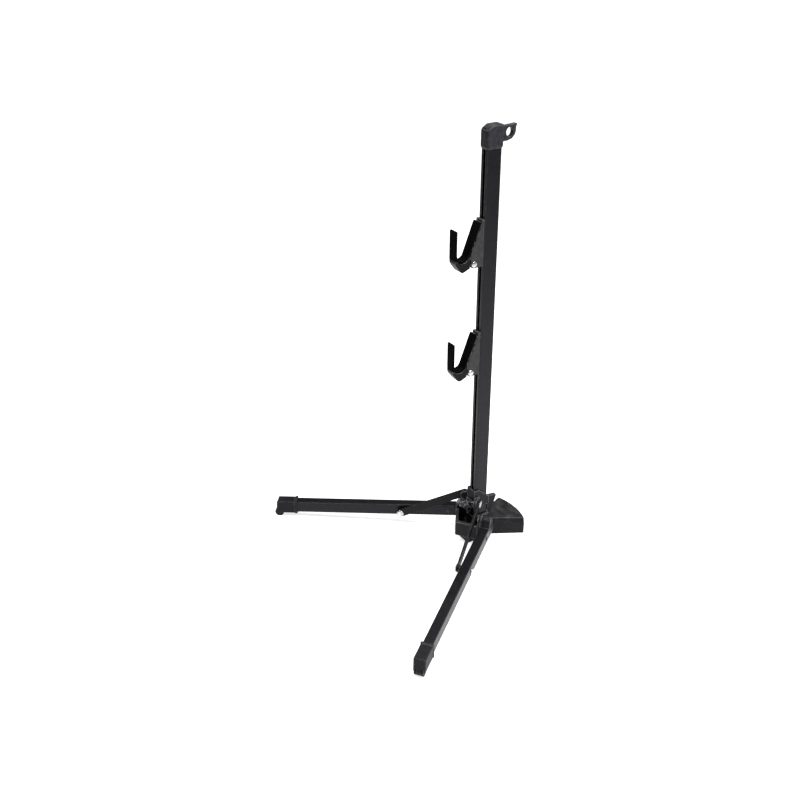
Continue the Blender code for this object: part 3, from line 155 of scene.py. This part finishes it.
def patches(tree: Tree, cloud: Cloud) -> Socket:
    """Add a noise pattern, stretched to 0..1.

    Args:
        tree: the tree to add to.
        cloud: the noise pattern with its limits.

    Returns:
        The stretched noise's socket.
    """
    return spread(tree, noise(tree, cloud), cloud.limits)


def arithmetic(tree: Tree, operation: str, *values: Socket | float) -> Socket:
    """Add a Math node.

    Args:
        tree: the tree to add to.
        operation: the Math node's operation.
        values: its first and second value, each a socket or a number.

    Returns:
        The result's socket.
    """
    node = tree.nodes.new("ShaderNodeMath")
    node.operation = operation
    for socket, value in zip(node.inputs, values):
        if isinstance(value, (int, float)):
            socket.default_value = value
        else:
            tree.links.new(value, socket)
    return node.outputs["Value"]


def product(tree: Tree, first: Socket | float, second: Socket | float) -> Socket:
    """Multiply two values.

    Args:
        tree: the tree to add to.
        first: a socket or a number.
        second: a socket or a number.

    Returns:
        The product's socket.
    """
    return arithmetic(tree, "MULTIPLY", first, second)


def remainder(tree: Tree, share: Socket) -> Socket:
    """Take a share from one.

    Args:
        tree: the tree to add to.
        share: the share's socket.

    Returns:
        The socket of what the share leaves of 1.
    """
    return arithmetic(tree, "SUBTRACT", 1.0, share)


def blend_colours(
    tree: Tree, factor: Socket, first: Socket | Colour, second: Socket | Colour
) -> Socket:
    """Mix two colours.

    Args:
        tree: the tree to add to.
        factor: the socket of the second colour's share.
        first: socket or colour.
        second: socket or colour.

    Returns:
        The mixed colour's socket.
    """
    node = tree.nodes.new("ShaderNodeMix")
    node.data_type = "RGBA"
    colour_sockets = [socket for socket in node.inputs if socket.type == "RGBA"]
    tree.links.new(factor, node.inputs["Factor"])
    for socket, value in zip(colour_sockets, (first, second)):
        if isinstance(value, tuple):
            socket.default_value = (*value, 1.0)
        else:
            tree.links.new(value, socket)
    return next(socket for socket in node.outputs if socket.type == "RGBA")


def bump(tree: Tree, relief: Socket, depth: float, normal: Socket) -> Socket:
    """Press a relief into a normal.

    Args:
        tree: the tree to add to.
        relief: the height's socket.
        depth: how deep the relief is, in metres.
        normal: the socket of the normal before it.

    Returns:
        The new normal's socket.
    """
    node = tree.nodes.new("ShaderNodeBump")
    node.inputs["Distance"].default_value = depth
    tree.links.new(relief, node.inputs["Height"])
    tree.links.new(normal, node.inputs["Normal"])
    return node.outputs["Normal"]


@dataclass
class SharedEffects:
    """The shader groups that several finishes use, each made once.

    Args:
        fine: the grain itself.
        broad: the slow change of roughness across a piece.
        middle: the middle of a noise's values.
        fine_share: how far the grain shifts the roughness.
        broad_share: how far the slow change shifts the roughness.
        bevel_samples: rays behind each rounded normal.
        bend: 1 less the cosine of an edge's lean, where the worn rub and painted highlight start
            and where they are full.
        rub_and_highlight_patches: the patches along the edges that get the worn rub and painted
            highlight.
        upward: rise of a face's normal where the dusty layer and painted top light start and where
            they are full.
        dust_and_top_light_patches: the patches of the dusty layer and painted top light.
        film_and_top_light: colour of the dusty layer and the painted top light.
        shading: the patches of darker shade.
        shade_share: how far they darken.
        lines: the drawn lines, before they are stretched.
        stretch: share of the Z coordinate that is left, which draws the lines out along Z.
        trees: the groups that are made.
    """

    fine: Cloud = Cloud(1500.0, 3.0, 0.6)
    broad: Cloud = Cloud(38.0, 2.0)
    middle: float = 0.5
    fine_share: float = 0.10
    broad_share: float = 0.10
    bevel_samples: int = 6
    bend: Limits = (0.01, 0.14)
    rub_and_highlight_patches: Cloud = Cloud(220.0, 4.0, limits=(0.38, 0.62))
    upward: Limits = (0.2, 0.95)
    dust_and_top_light_patches: Cloud = Cloud(90.0, 5.0, limits=(0.35, 0.7))
    film_and_top_light: Colour = (0.25, 0.25, 0.24)
    shading: Cloud = Cloud(260.0, 6.0, 0.7, (0.40, 0.62))
    shade_share: float = 0.5
    lines: Cloud = Cloud(900.0, 3.0)
    stretch: float = 0.02
    trees: dict[Group, Tree] = field(init=False)

    def __post_init__(self) -> None:
        """Build every group."""
        self.trees = {
            Group.GRAIN: self.grain(),
            Group.EDGE: self.edge(),
            Group.DUST_AND_TOP_LIGHT: self.dust_and_top_light(),
            Group.BRUSH: self.brush(),
        }

    def grain(self) -> Tree:
        """Make the fine moulded or blasted grain, as a height and a roughness.

        Returns:
            The group.
        """
        tree = new_group(
            Group.GRAIN, {"Mid": 0.5}, {"Height": "NodeSocketFloat", "Roughness": "NodeSocketFloat"}
        )
        height = noise(tree, self.fine)
        total = tree.nodes["in"].outputs["Mid"]
        for value, share in (
            (noise(tree, self.broad), self.broad_share),
            (height, self.fine_share),
        ):
            centred = arithmetic(tree, "SUBTRACT", value, self.middle)
            total = arithmetic(tree, "ADD", product(tree, centred, share), total)
        tree.links.new(height, tree.nodes["out"].inputs["Height"])
        tree.links.new(total, tree.nodes["out"].inputs["Roughness"])
        return tree

    def edge(self) -> Tree:
        """Make the colour paler along edges, partly as real worn rub and partly as a painted
        highlight, with the edges' rounded normal.

        Returns:
            The group.
        """
        tree = new_group(
            Group.EDGE,
            {"Base": BLACK, "Rubbed": WHITE, "Amount": 0.5, "Width": 0.0004, "Patchy": 1.0},
            {"Colour": "NodeSocketColor", "Normal": "NodeSocketVector"},
        )
        given = tree.nodes["in"].outputs
        rounded = tree.nodes.new("ShaderNodeBevel")
        rounded.samples = self.bevel_samples
        tree.links.new(given["Width"], rounded.inputs["Radius"])
        shape = tree.nodes.new("ShaderNodeNewGeometry")
        dot = tree.nodes.new("ShaderNodeVectorMath")
        dot.operation = "DOT_PRODUCT"
        tree.links.new(rounded.outputs["Normal"], dot.inputs[0])
        tree.links.new(shape.outputs["True Normal"], dot.inputs[1])
        bent = spread(tree, remainder(tree, dot.outputs["Value"]), self.bend)
        # Paler colour along the edges: partly real worn rub, partly a painted highlight.
        spared = product(tree, remainder(tree, patches(tree, self.rub_and_highlight_patches)), given["Patchy"])
        rub_and_highlight = product(tree, remainder(tree, spared), given["Amount"])
        colour = blend_colours(tree, product(tree, bent, rub_and_highlight), given["Base"], given["Rubbed"])
        tree.links.new(colour, tree.nodes["out"].inputs["Colour"])
        tree.links.new(rounded.outputs["Normal"], tree.nodes["out"].inputs["Normal"])
        return tree

    def dust_and_top_light(self) -> Tree:
        """Make the thin pale layer on faces that look up, partly real dusty settling and partly
        painted top light, and the uneven shade over it.

        Returns:
            The group.
        """
        tree = new_group(
            Group.DUST_AND_TOP_LIGHT, {"Base": BLACK, "Amount": 0.05}, {"Colour": "NodeSocketColor"}
        )
        given = tree.nodes["in"].outputs
        shape = tree.nodes.new("ShaderNodeNewGeometry")
        parts = tree.nodes.new("ShaderNodeSeparateXYZ")
        tree.links.new(shape.outputs["Normal"], parts.inputs["Vector"])
        # Faces that look up get a pale layer: partly a real dusty layer, partly painted top light.
        dust_and_top_light_mask = product(
            tree, spread(tree, parts.outputs["Z"], self.upward), patches(tree, self.dust_and_top_light_patches)
        )
        share = product(tree, dust_and_top_light_mask, given["Amount"])
        with_film_and_top_light = blend_colours(tree, share, given["Base"], self.film_and_top_light)
        dark = product(tree, patches(tree, self.shading), self.shade_share)
        shaded = blend_colours(tree, dark, with_film_and_top_light, BLACK)
        tree.links.new(shaded, tree.nodes["out"].inputs["Colour"])
        return tree

    def brush(self) -> Tree:
        """Make the fine lines drawn along the Z axis, as a height.

        Returns:
            The group.
        """
        tree = new_group(Group.BRUSH, {}, {"Height": "NodeSocketFloat"})
        place = tree.nodes.new("ShaderNodeTexCoord")
        parts = tree.nodes.new("ShaderNodeSeparateXYZ")
        tree.links.new(place.outputs["Object"], parts.inputs["Vector"])
        joined = tree.nodes.new("ShaderNodeCombineXYZ")
        tree.links.new(parts.outputs["X"], joined.inputs["X"])
        tree.links.new(parts.outputs["Y"], joined.inputs["Y"])
        tree.links.new(product(tree, parts.outputs["Z"], self.stretch), joined.inputs["Z"])
        height = noise_at(tree, self.lines, joined.outputs["Vector"])
        tree.links.new(height, tree.nodes["out"].inputs["Height"])
        return tree

    def place(self, tree: Tree, name: Group, **values: float | Colour) -> bpy.types.Node:
        """Put a shared group into a material's tree.

        Args:
            tree: the material's tree.
            name: which group to place.
            values: socket name to its value.

        Returns:
            The group node.
        """
        node = tree.nodes.new("ShaderNodeGroup")
        node.node_tree = self.trees[name]
        for label, value in values.items():
            node.inputs[label].default_value = (*value, 1.0) if isinstance(value, tuple) else value
        return node


# ------------------------------------------------------------------ finishes
@dataclass(frozen=True)
class Finish:
    """One surface finish of the stand.

    Args:
        name: the material's name.
        slot: the record's material slot; not used.
        colour: base colour.
        rub_and_highlight: colour of its edges, partly real worn rub and partly painted highlight.
        roughness: middle roughness.
        metallic: 1 for bare metal.
        grain_depth: depth of the grain, in metres.
        rub_and_highlight_amount: share of the edges that get the worn rub and painted highlight.
        edge_width: radius of the edges, in metres.
        patchy: how far the worn rub and painted highlight are broken up along the edges.
        film_and_top_light: share of the dusty layer and painted top light on upward faces.
        drawn: depth of drawn lines, in metres.
        specular: the shader's specular level.
        tint: colour of its reflections.
    """

    name: str
    slot: str
    colour: Colour
    rub_and_highlight: Colour
    roughness: float
    metallic: float = 0.0
    grain_depth: float = 0.00002
    rub_and_highlight_amount: float = 0.35
    edge_width: float = 0.0004
    patchy: float = 1.0
    film_and_top_light: float = 0.05
    drawn: float = 0.0
    specular: float = 0.5
    tint: Colour = WHITE

    def build(self, effects: SharedEffects) -> bpy.types.Material:
        """Make the material.

        Args:
            effects: the shared shader groups.

        Returns:
            The finished material.
        """
        material = bpy.data.materials.new(self.name)
        material.use_nodes = True
        tree = material.node_tree
        shader = tree.nodes["Principled BSDF"]
        # The edges get a paler colour that is partly real worn rub and partly a painted highlight.
        edge = effects.place(
            tree, Group.EDGE, Base=self.colour, Rubbed=self.rub_and_highlight, Amount=self.rub_and_highlight_amount,
            Width=self.edge_width, Patchy=self.patchy,
        )
        # Upward faces get a pale layer that is partly real dusty settling and partly painted top
        # light.
        dust_and_top_light = effects.place(tree, Group.DUST_AND_TOP_LIGHT, Amount=self.film_and_top_light)
        grain = effects.place(tree, Group.GRAIN, Mid=self.roughness)
        tree.links.new(edge.outputs["Colour"], dust_and_top_light.inputs["Base"])
        tree.links.new(dust_and_top_light.outputs["Colour"], shader.inputs["Base Color"])
        tree.links.new(grain.outputs["Roughness"], shader.inputs["Roughness"])
        normal = bump(tree, grain.outputs["Height"], self.grain_depth, edge.outputs["Normal"])
        if self.drawn > 0:
            lines = effects.place(tree, Group.BRUSH)
            normal = bump(tree, lines.outputs["Height"], self.drawn, normal)
        tree.links.new(normal, shader.inputs["Normal"])
        shader.inputs["Metallic"].default_value = self.metallic
        shader.inputs["Specular IOR Level"].default_value = self.specular
        shader.inputs["Specular Tint"].default_value = (*self.tint, 1.0)
        return material


class Look(Enum):
    """The finishes that the stand shows."""

    # Each finish's paler edge colour is partly real worn rub and partly a painted highlight.
    ANODISED = Finish(
        "black_anodised", "black_anodised", (0.0045, 0.0047, 0.0054), (0.17, 0.17, 0.18), 0.36,
        grain_depth=0.000014, drawn=0.00003, edge_width=0.0011, rub_and_highlight_amount=1.0, patchy=0.35,
        film_and_top_light=0.01, specular=0.19, tint=COOL,
    )
    # The braces are the same black anodised metal; their darker colour is painted shade.
    BRACE = Finish(
        "braces_black_painted_shade", "black_anodised", (0.0030, 0.0030, 0.0033), (0.24, 0.24, 0.25), 0.38,
        grain_depth=0.000012, rub_and_highlight_amount=0.5, film_and_top_light=0.02, specular=0.13,
    )
    # The moulding's large share of pale layer on upward faces is partly a real dusty layer and
    # partly painted top light.
    MOULDING = Finish(
        "black_moulding", "black_moulding", (0.0092, 0.0092, 0.0108), (0.34, 0.34, 0.36), 0.38,
        grain_depth=0.00006, edge_width=0.0014, rub_and_highlight_amount=0.8, patchy=0.5,
        film_and_top_light=0.14, specular=0.12, tint=COOL,
    )
    # The cap is the same black moulding; its lighter colour is painted light.
    CAP = Finish(
        "cap_moulding_painted_light", "black_moulding", (0.0240, 0.0238, 0.0275), (0.13, 0.13, 0.14), 0.42,
        grain_depth=0.00008, edge_width=0.0014, rub_and_highlight_amount=0.5,
        film_and_top_light=0.10, specular=0.14, tint=COOL,
    )
    BRACKET = Finish(
        "grey_moulding", "grey_moulding", (0.035, 0.0352, 0.0362), (0.24, 0.24, 0.25), 0.48,
        grain_depth=0.00004, drawn=0.00004, edge_width=0.0006, rub_and_highlight_amount=0.6, specular=0.20,
    )
    ARM = Finish(
        "hook_strip", "blackened_steel", (0.0070, 0.0072, 0.0080), (0.45, 0.45, 0.46), 0.36,
        grain_depth=0.000015, edge_width=0.0006, rub_and_highlight_amount=0.8, specular=0.08,
    )
    FOOT = Finish(
        "foot_rubber", "black_rubber", (0.0080, 0.0080, 0.0092), (0.16, 0.16, 0.17), 0.48,
        grain_depth=0.00009, edge_width=0.0014, rub_and_highlight_amount=0.8, patchy=0.6,
        film_and_top_light=0.01, specular=0.13, tint=COOL,
    )
    LINING = Finish(
        "black_rubber", "black_rubber", (0.0015, 0.0015, 0.0015), (0.016, 0.016, 0.016), 0.70,
        grain_depth=0.00005, edge_width=0.0005, film_and_top_light=0.01, specular=0.02,
    )
    STEEL = Finish(
        "bright_steel", "bright_steel", (0.58, 0.58, 0.59), (0.80, 0.80, 0.80), 0.28,
        metallic=1.0, grain_depth=0.000008, edge_width=0.0003, film_and_top_light=0.0,
    )
    DARK_STEEL = Finish(
        "blackened_steel", "blackened_steel", (0.030, 0.030, 0.032), (0.3, 0.3, 0.3), 0.36,
        metallic=0.8, grain_depth=0.000015, edge_width=0.0003,
    )


# ------------------------------------------------------------------ repeats
class RibRow:
    """A Geometry Nodes tree that sets round bars across a path, one every pitch."""

    SIDES = 8

    def __init__(self) -> None:
        """Build the node tree with its named inputs."""
        self.tree = bpy.data.node_groups.new("rib_row", "GeometryNodeTree")
        face = self.tree.interface
        face.new_socket(name="Path", in_out="INPUT", socket_type="NodeSocketGeometry")
        for label in ("Pitch", "Radius", "Length"):
            face.new_socket(name=label, in_out="INPUT", socket_type="NodeSocketFloat")
        face.new_socket(name="Finish", in_out="INPUT", socket_type="NodeSocketMaterial")
        face.new_socket(name="Ribs", in_out="OUTPUT", socket_type="NodeSocketGeometry")
        self.wire()

    def wire(self) -> None:
        """Lay the nodes: path, even points, a bar along X on each, real mesh, finish."""
        nodes, links = self.tree.nodes, self.tree.links
        given = nodes.new("NodeGroupInput").outputs
        result = nodes.new("NodeGroupOutput")
        curve = nodes.new("GeometryNodeMeshToCurve")
        even = nodes.new("GeometryNodeResampleCurve")
        even.mode = "LENGTH"
        bar = nodes.new("GeometryNodeMeshCylinder")
        bar.inputs["Vertices"].default_value = self.SIDES
        turn = nodes.new("ShaderNodeCombineXYZ")
        turn.inputs["Y"].default_value = math.pi / 2
        rotation = nodes.new("FunctionNodeEulerToRotation")
        copies = nodes.new("GeometryNodeInstanceOnPoints")
        real = nodes.new("GeometryNodeRealizeInstances")
        dressed = nodes.new("GeometryNodeSetMaterial")
        links.new(given["Path"], curve.inputs["Mesh"])
        links.new(curve.outputs["Curve"], even.inputs["Curve"])
        links.new(given["Pitch"], even.inputs["Length"])
        links.new(given["Radius"], bar.inputs["Radius"])
        links.new(given["Length"], bar.inputs["Depth"])
        links.new(turn.outputs["Vector"], rotation.inputs["Euler"])
        links.new(even.outputs["Curve"], copies.inputs["Points"])
        links.new(bar.outputs["Mesh"], copies.inputs["Instance"])
        links.new(rotation.outputs["Rotation"], copies.inputs["Rotation"])
        links.new(copies.outputs["Instances"], real.inputs["Geometry"])
        links.new(real.outputs["Geometry"], dressed.inputs["Geometry"])
        links.new(given["Finish"], dressed.inputs["Material"])
        links.new(dressed.outputs["Geometry"], result.inputs["Ribs"])

    def mesh(
        self, path: list[Vector], finish: bpy.types.Material, **sizes: float
    ) -> bpy.types.Mesh:
        """Make one row of ribs as a plain mesh.

        Args:
            path: points of the path that the ribs cross.
            finish: the ribs' material.
            sizes: Pitch, Radius and Length, in metres.

        Returns:
            The ribs' mesh, in the shared frame.
        """
        line = bpy.data.meshes.new("rib_path")
        line.from_pydata(path, [(index, index + 1) for index in range(len(path) - 1)], [])
        holder = bpy.data.objects.new("rib_path", line)
        bpy.context.scene.collection.objects.link(holder)
        modifier = holder.modifiers.new("ribs", "NODES")
        modifier.node_group = self.tree
        values = {**sizes, "Finish": finish}
        for item in self.tree.interface.items_tree:
            if item.name in values:
                modifier[item.identifier] = values[item.name]
        graph = bpy.context.evaluated_depsgraph_get()
        ribs = bpy.data.meshes.new_from_object(holder.evaluated_get(graph))
        bpy.data.objects.remove(holder)
        return ribs


class Workshop:
    """Holds the finishes and the rib row, dresses CAD nodes and adds pieces."""

    def __init__(self) -> None:
        """Build the shared effects, the finishes and the rib row."""
        effects = SharedEffects()
        self.materials = {look: look.value.build(effects) for look in Look}
        self.ribs = RibRow()

    def dress(self, look: Look, *nodes: str) -> None:
        """Give CAD nodes a finish.

        Args:
            look: the finish.
            nodes: the nodes' names.
        """
        for name in nodes:
            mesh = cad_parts[name].data
            for index in range(len(mesh.materials)):
                mesh.materials[index] = self.materials[look]
            log.info("dressed %s as %s", name, look.value.name)

    def piece(self, name: str, mesh: bpy.types.Mesh, look: Look, body: str) -> None:
        """Add a finished piece and make it ride on its body.

        Args:
            name: the piece's name.
            mesh: its mesh, in the shared frame.
            look: its finish.
            body: the body that carries it.
        """
        mesh.materials.clear()
        mesh.materials.append(self.materials[look])
        item = bpy.data.objects.new(name, mesh)
        bpy.context.scene.collection.objects.link(item)
        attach(item, body)
        log.info("made %s, %d faces, on %s", name, len(mesh.polygons), body)


# ------------------------------------------------------------------ sub-assemblies
@dataclass
class Upright:
    """The slotted upright and its cap.

    Args:
        shop: where the finishes are.
    """

    shop: Workshop

    def build(self) -> None:
        """Dress the upright and the cap."""
        self.shop.dress(Look.ANODISED, "upright_channel")
        self.shop.dress(Look.CAP, "top_cap")


@dataclass
class Base:
    """The hub, the foot plate, the collar with its latch, and their fasteners.

    Args:
        shop: where the finishes are.
    """

    shop: Workshop

    def build(self) -> None:
        """Dress the base."""
        self.shop.dress(Look.MOULDING, "hub_body", "foot_plate", "collar", "latch_lever")
        self.shop.dress(Look.DARK_STEEL, "latch_pin", "upright_cross_pin")
        self.shop.dress(Look.DARK_STEEL, "plate_screw_left", "plate_screw_right")
        self.shop.dress(Look.STEEL, "leg_hinge_pin_left", "leg_hinge_pin_right")


@dataclass
class Leg:
    """One leg with its foot and brace.

    Args:
        shop: where the finishes are.
        side: left or right.
    """

    shop: Workshop
    side: str

    def build(self) -> None:
        """Dress the leg, its foot and its brace."""
        side = self.side
        self.shop.dress(Look.ANODISED, f"leg_channel_{side}")
        self.shop.dress(Look.BRACE, f"brace_{side}")
        self.shop.dress(Look.MOULDING, f"leg_knuckle_{side}")
        self.shop.dress(Look.FOOT, f"leg_foot_{side}")
        self.shop.dress(Look.DARK_STEEL, f"knuckle_rivet_{side}", f"brace_spacer_{side}")
        self.shop.dress(Look.STEEL, f"brace_lower_rivet_{side}", f"brace_upper_rivet_{side}")


@dataclass
class Hook:
    """One hook set, with the fine ribs across its rubber lining. Sizes are in metres.

    Args:
        shop: where the finishes are.
        place: upper or lower.
        height: height of the hook's rivet above the floor.
        mouth_front: from the upright's axis to the lining's face on the front prong.
        prong_top: top of the front prong, above the rivet.
        throat_radius: radius of the lining's face in the throat.
        throat_bottom: bottom of the lining's face, above the rivet.
        inner_top: top of the inner prong, above the rivet.
        inner_slope: how far the inner prong leans back for each metre up.
        rib_radius: radius of a rib.
        rib_pitch: from one rib to the next.
        rib_length: length of a rib, across the hook.
        rib_sink: how far a rib's centre lies under the lining's face.
        end_gap: from the ends of the rib row to the prongs' tops.
        arc_steps: number of straight pieces round the throat.
    """

    shop: Workshop
    place: str
    height: float
    mouth_front: float = 0.0417
    prong_top: float = 0.0385
    throat_radius: float = 0.0067
    throat_bottom: float = 0.0058
    inner_top: float = 0.0440
    inner_slope: float = 0.387
    rib_radius: float = 0.00028
    rib_pitch: float = 0.0014
    rib_length: float = 0.0098
    rib_sink: float = 0.00012
    end_gap: float = 0.0012
    arc_steps: int = 16

    def build(self) -> None:
        """Dress the hook set and rib its lining."""
        self.shop.dress(Look.BRACKET, f"hook_bracket_{self.place}")
        self.shop.dress(Look.ARM, f"hook_arm_{self.place}")
        self.shop.dress(Look.DARK_STEEL, f"hook_slide_block_{self.place}")
        self.shop.dress(Look.LINING, f"hook_pad_{self.place}")
        self.shop.dress(Look.STEEL, f"hook_rivet_{self.place}")
        ribs = self.shop.ribs.mesh(
            self.lining(), self.shop.materials[Look.LINING],
            Pitch=self.rib_pitch, Radius=self.rib_radius, Length=self.rib_length,
        )
        self.shop.piece(f"lining_ribs_{self.place}", ribs, Look.LINING, f"{self.place}_hook")

    def lining(self) -> list[Vector]:
        """Lay the line of rib centres along the inside of the V.

        Returns:
            Points in the shared frame, from the front prong's top to the inner prong's top.
        """
        centre = (self.mouth_front - self.throat_radius, self.throat_bottom + self.throat_radius)
        radius = self.throat_radius + self.rib_sink
        end = -math.pi + math.atan(self.inner_slope)
        side = [(self.mouth_front + self.rib_sink, self.prong_top - self.end_gap)]
        for index in range(self.arc_steps + 1):
            angle = end * index / self.arc_steps
            side.append(
                (centre[0] + radius * math.cos(angle), centre[1] + radius * math.sin(angle))
            )
        forward, up = side[-1]
        rise = self.inner_top - self.end_gap - up
        side.append((forward - self.inner_slope * rise, up + rise))
        return [Vector((0.0, -forward, self.height + up)) for forward, up in side]


# ------------------------------------------------------------------ studio
@dataclass(frozen=True)
class Lamp:
    """One round lamp.

    Args:
        name: the lamp's name.
        place: where it hangs, in metres.
        aim: the point it shines at, in metres.
        size: its diameter, in metres.
        power: its power, in watts.
    """

    name: str
    place: Point
    aim: Point
    size: float
    power: float


@dataclass
class Studio:
    """Floor, lamps, world and the camera at the photograph's viewpoint.

    Args:
        camera_place: the camera's place, in metres.
        heading: its turn about the vertical, in degrees.
        tilt: its tilt up from straight down, in degrees.
        roll: its turn about its own axis, in degrees.
        lens: focal length, in millimetres.
        sensor: width of the sensor, in millimetres.
        floor_half: half the floor's width, in metres.
        floor_drop: how far the floor lies under the stand, in metres.
        floor_colour: the floor's own colour.
        floor_roughness: the floor's roughness.
        floor_glow: the floor's own light near the stand.
        floor_fade: from and to which distance that light changes, in metres.
        ambient: the world's light on the stand.
        sides: brightness of the world's sides in reflections.
        overhead: brightness of the world overhead in reflections, as a share of the sides.
        ceiling: rise of a ray where the world starts to darken and where it is darkest.
        lamps: the lamps.
    """

    camera_place: Point = (0.78709, -0.58072, 0.7195)
    heading: float = 58.94939
    tilt: float = 61.22538
    roll: float = -0.33158
    lens: float = 44.69
    sensor: float = 36.0
    floor_half: float = 9.0
    floor_drop: float = 0.0002
    floor_colour: Colour = (0.60, 0.60, 0.60)
    floor_roughness: float = 0.9
    floor_glow: float = 0.77
    floor_fade: Limits = (0.15, 1.7)
    ambient: float = 0.08
    sides: float = 0.55
    overhead: float = 0.10
    ceiling: Limits = (0.12, 0.42)
    lamps: tuple[Lamp, ...] = (
        Lamp("key", (0.78, 0.05, 1.65), (0.0, 0.0, 0.10), 0.36, 24.0),
        Lamp("front", (-0.15, -1.00, 1.55), (0.0, 0.0, 0.05), 0.30, 14.0),
        Lamp("side", (0.60, 0.40, 0.85), (0.0, 0.0, 0.42), 0.4, 7.5),
        Lamp("top", (-0.3, 0.3, 1.9), (0.0, 0.0, 0.10), 0.8, 26.0),
    )

    def build(self) -> None:
        """Set up the whole studio."""
        bpy.context.scene.view_settings.view_transform = "Standard"
        self.build_world()
        self.build_floor()
        for lamp in self.lamps:
            self.build_lamp(lamp)
        self.build_camera()

    def build_world(self) -> None:
        """Make a white world that darkens overhead in reflections, as under a ceiling."""
        world = bpy.data.worlds.new("studio")
        bpy.context.scene.world = world
        world.use_nodes = True
        tree = world.node_tree
        back = tree.nodes["Background"]
        back.inputs["Color"].default_value = (*WHITE, 1.0)
        place = tree.nodes.new("ShaderNodeTexCoord")
        parts = tree.nodes.new("ShaderNodeSeparateXYZ")
        tree.links.new(place.outputs["Generated"], parts.inputs["Vector"])
        dimmed = product(tree, spread(tree, parts.outputs["Z"], self.ceiling), 1.0 - self.overhead)
        plain, gloss = self.seen_shares(tree)
        mirrored = product(tree, gloss, product(tree, remainder(tree, dimmed), self.sides))
        seen = arithmetic(tree, "ADD", plain, mirrored)
        rest = remainder(tree, arithmetic(tree, "ADD", plain, gloss))
        total = arithmetic(tree, "ADD", seen, product(tree, rest, self.ambient))
        tree.links.new(total, back.inputs["Strength"])

    def seen_shares(self, tree: Tree) -> tuple[Socket, Socket]:
        """Tell the rays that see the studio straight from those that see it mirrored.

        Args:
            tree: the tree to add to.

        Returns:
            1 for camera and transmission rays, and 1 for the remaining glossy rays.
        """
        path = tree.nodes.new("ShaderNodeLightPath").outputs
        plain = arithmetic(tree, "MAXIMUM", path["Is Camera Ray"], path["Is Transmission Ray"])
        return plain, product(tree, path["Is Glossy Ray"], remainder(tree, plain))

    def build_floor(self) -> None:
        """Make a wide white floor with a faint shadow.

        Away from the stand it turns fully white where it is seen straight, and dark where it
        is seen mirrored.
        """
        work = bmesh.new()
        bmesh.ops.create_grid(work, x_segments=1, y_segments=1, size=self.floor_half)
        mesh = bpy.data.meshes.new("studio_floor")
        work.to_mesh(mesh)
        work.free()
        floor = bpy.data.objects.new("studio_floor", mesh)
        floor.location.z = -self.floor_drop
        bpy.context.scene.collection.objects.link(floor)
        material = bpy.data.materials.new("studio_floor")
        material.use_nodes = True
        tree = material.node_tree
        shader = tree.nodes["Principled BSDF"]
        shader.inputs["Base Color"].default_value = (*self.floor_colour, 1.0)
        shader.inputs["Roughness"].default_value = self.floor_roughness
        shader.inputs["Specular IOR Level"].default_value = 0.0
        shader.inputs["Emission Color"].default_value = (*WHITE, 1.0)
        place = tree.nodes.new("ShaderNodeTexCoord")
        reach = tree.nodes.new("ShaderNodeVectorMath")
        reach.operation = "LENGTH"
        tree.links.new(place.outputs["Object"], reach.inputs[0])
        far = spread(tree, reach.outputs["Value"], self.floor_fade)
        plain, gloss = self.seen_shares(tree)
        mirrored = product(tree, product(tree, gloss, remainder(tree, far)), self.floor_glow)
        lift = arithmetic(tree, "ADD", product(tree, far, 1.0 - self.floor_glow), self.floor_glow)
        glow = arithmetic(tree, "ADD", mirrored, product(tree, plain, lift))
        tree.links.new(glow, shader.inputs["Emission Strength"])
        mesh.materials.append(material)

    def build_lamp(self, lamp: Lamp) -> None:
        """Hang a lamp and aim it.

        Args:
            lamp: the lamp.
        """
        data = bpy.data.lights.new(lamp.name, "AREA")
        data.shape = "DISK"
        data.size = lamp.size
        data.energy = lamp.power
        item = bpy.data.objects.new(lamp.name, data)
        item.location = lamp.place
        beam = Vector(lamp.aim) - Vector(lamp.place)
        item.rotation_euler = beam.to_track_quat("-Z", "Y").to_euler()
        bpy.context.scene.collection.objects.link(item)

    def build_camera(self) -> None:
        """Set the camera at the photograph's viewpoint."""
        data = bpy.data.cameras.new("camera")
        data.lens = self.lens
        data.sensor_width = self.sensor
        camera = bpy.data.objects.new("camera", data)
        turn = Matrix.Rotation(math.radians(self.heading), 4, "Z")
        turn = turn @ Matrix.Rotation(math.radians(self.tilt), 4, "X")
        turn = turn @ Matrix.Rotation(math.radians(self.roll), 4, "Z")
        camera.matrix_world = Matrix.Translation(self.camera_place) @ turn
        bpy.context.scene.collection.objects.link(camera)
        bpy.context.scene.camera = camera


def main() -> None:
    """Build the looks of the stand in order."""
    logging.basicConfig(level=logging.INFO, format="%(name)s: %(message)s")
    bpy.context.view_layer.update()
    shop = Workshop()
    Upright(shop).build()
    Base(shop).build()
    for side in ("left", "right"):
        Leg(shop, side).build()
    for place, height in HOOK_HEIGHTS.items():
        Hook(shop, place, height).build()
    Studio().build()


if __name__ == "__main__":
    main()
